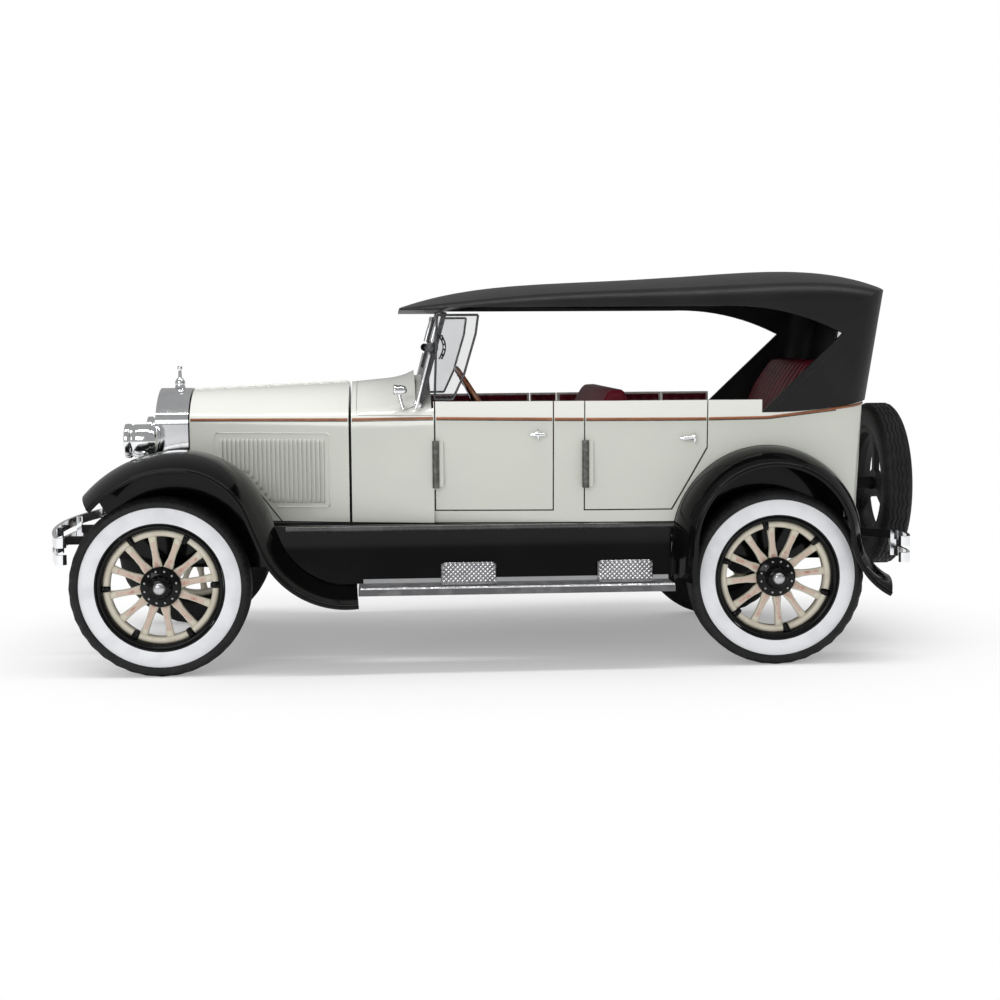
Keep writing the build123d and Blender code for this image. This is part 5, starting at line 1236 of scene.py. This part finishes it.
camera.matrix_world = Matrix.Translation(CAMERA_PLACE) @ Matrix((right, up, -ahead)).transposed().to_4x4()
bpy.context.scene.camera = camera
bpy.context.scene.view_settings.view_transform = "Standard"
print("camera looks along", [round(v, 3) for v in ahead])

# %% [markdown]
# The stage is a plain white floor under a white world. Near the car the floor is matt and keeps its soft
# shadow; further out an oval mask fades it into the same white as the world, so no horizon shows. The world
# is white to the camera and through panes, softer as light, and dim in reflections, which keeps blacks deep.

# %% Stage: a floor that fades into white
FLOOR_OVAL = (0.172, 0.125)     # metres, half length and half width of the part that shows shadow
FLOOR_HALF = 6
FADE_START, FADE_END, FADE_LEAST = 0.55, 1.05, 0.30     # in shares of the oval, and the white near the car


def seen_directly(nodes, links):
    """The light path, and a mask that is 1 for what the camera sees, straight or through a pane."""
    rays = nodes.new("ShaderNodeLightPath")
    seen = nodes.new("ShaderNodeMath")
    seen.operation = "MAXIMUM"
    links.new(rays.outputs["Is Camera Ray"], seen.inputs[0])
    links.new(rays.outputs["Is Transmission Ray"], seen.inputs[1])
    return rays, seen


def stage_white():
    """A pale matt floor near the object that turns plain white to the camera further out."""
    material = bpy.data.materials.new("stage_white")
    material.use_nodes = True
    nodes, links = material.node_tree.nodes, material.node_tree.links
    nodes.clear()
    out = nodes.new("ShaderNodeOutputMaterial")
    matt = nodes.new("ShaderNodeBsdfDiffuse")
    matt.inputs["Color"].default_value = (0.93, 0.93, 0.935, 1)
    white = nodes.new("ShaderNodeEmission")
    place = nodes.new("ShaderNodeTexCoord")
    oval = nodes.new("ShaderNodeVectorMath")
    oval.operation = "DIVIDE"
    oval.inputs[1].default_value = (*FLOOR_OVAL, 1.0)
    links.new(place.outputs["Object"], oval.inputs[0])
    reach = nodes.new("ShaderNodeVectorMath")
    reach.operation = "LENGTH"
    links.new(oval.outputs["Vector"], reach.inputs[0])
    fade = nodes.new("ShaderNodeMapRange")
    fade.interpolation_type = "SMOOTHSTEP"
    for label, value in (("From Min", FADE_START), ("From Max", FADE_END), ("To Min", FADE_LEAST)):
        fade.inputs[label].default_value = value
    links.new(reach.outputs["Value"], fade.inputs["Value"])
    rays, seen = seen_directly(nodes, links)
    share = nodes.new("ShaderNodeMath")
    share.operation = "MULTIPLY"
    links.new(seen.outputs["Value"], share.inputs[0])
    links.new(fade.outputs["Result"], share.inputs[1])
    blend = nodes.new("ShaderNodeMixShader")
    links.new(share.outputs["Value"], blend.inputs["Fac"])
    links.new(matt.outputs["BSDF"], blend.inputs[1])
    links.new(white.outputs["Emission"], blend.inputs[2])
    links.new(blend.outputs["Shader"], out.inputs["Surface"])
    return material


floor_mesh = bpy.data.meshes.new("studio_floor")
floor_mesh.from_pydata([(x * FLOOR_HALF, y * FLOOR_HALF, 0) for x, y in ((-1, -1), (1, -1), (1, 1), (-1, 1))],
                       [], [(0, 1, 2, 3)])
floor_mesh.materials.append(stage_white())
studio_floor = bpy.data.objects.new("studio_floor", floor_mesh)
bpy.context.collection.objects.link(studio_floor)
print("floor:", 2 * FLOOR_HALF, "m, shadow kept within", FLOOR_OVAL)

# %% World: white when looked at, softer as light, dim in reflections
WORLD_LIGHT, WORLD_GLOSS = 0.64, 0.34
world = bpy.data.worlds.new("studio_world")
world.use_nodes = True
bpy.context.scene.world = world
nodes, links = world.node_tree.nodes, world.node_tree.links
background = nodes["Background"]
background.inputs["Color"].default_value = (1, 1, 1, 1)
rays, seen = seen_directly(nodes, links)
gloss = nodes.new("ShaderNodeMapRange")
gloss.inputs["To Min"].default_value = WORLD_LIGHT
gloss.inputs["To Max"].default_value = WORLD_GLOSS
links.new(rays.outputs["Is Glossy Ray"], gloss.inputs["Value"])
strength = nodes.new("ShaderNodeMapRange")
strength.inputs["To Max"].default_value = 1.0
links.new(seen.outputs["Value"], strength.inputs["Value"])
links.new(gloss.outputs["Result"], strength.inputs["To Min"])
links.new(strength.outputs["Result"], background.inputs["Strength"])
print("world light", WORLD_LIGHT, "in reflections", WORLD_GLOSS)

# %% [markdown]
# Two soft boxes light the car. The long one overhead draws the narrow highlight along the top and bonnet, and
# the broad one beside the camera fills the flank. Both are weak, so that a colour renders about as written.

# %% Lamps: a long soft box overhead and a broad one beside the camera
def soft_box(name, place, size, power, aim=(0, 0, 0.05)):
    """A rectangular lamp that faces aim."""
    light = bpy.data.lights.new(name, "AREA")
    light.shape = "RECTANGLE"
    light.size, light.size_y = size
    light.energy = power
    box = bpy.data.objects.new(name, light)
    bpy.context.collection.objects.link(box)
    box.location = place
    box.rotation_euler = (Vector(aim) - Vector(place)).to_track_quat("-Z", "Y").to_euler()


soft_box("overhead_box", (0.0, 0.12, 0.62), (0.9, 0.08), 2.0)
soft_box("front_box", (0.35, 0.75, 0.35), (0.5, 0.3), 1.6)
print("lamps:", [light.name for light in bpy.data.lights])

# %% [markdown]
# Last, the pieces made are counted with their faces. What a piece adds must not make the toy larger than the
# bare frame.

# %% A count of the pieces made, with their faces
print("pieces made:", len(MADE), "faces:", sum(MADE.values()))
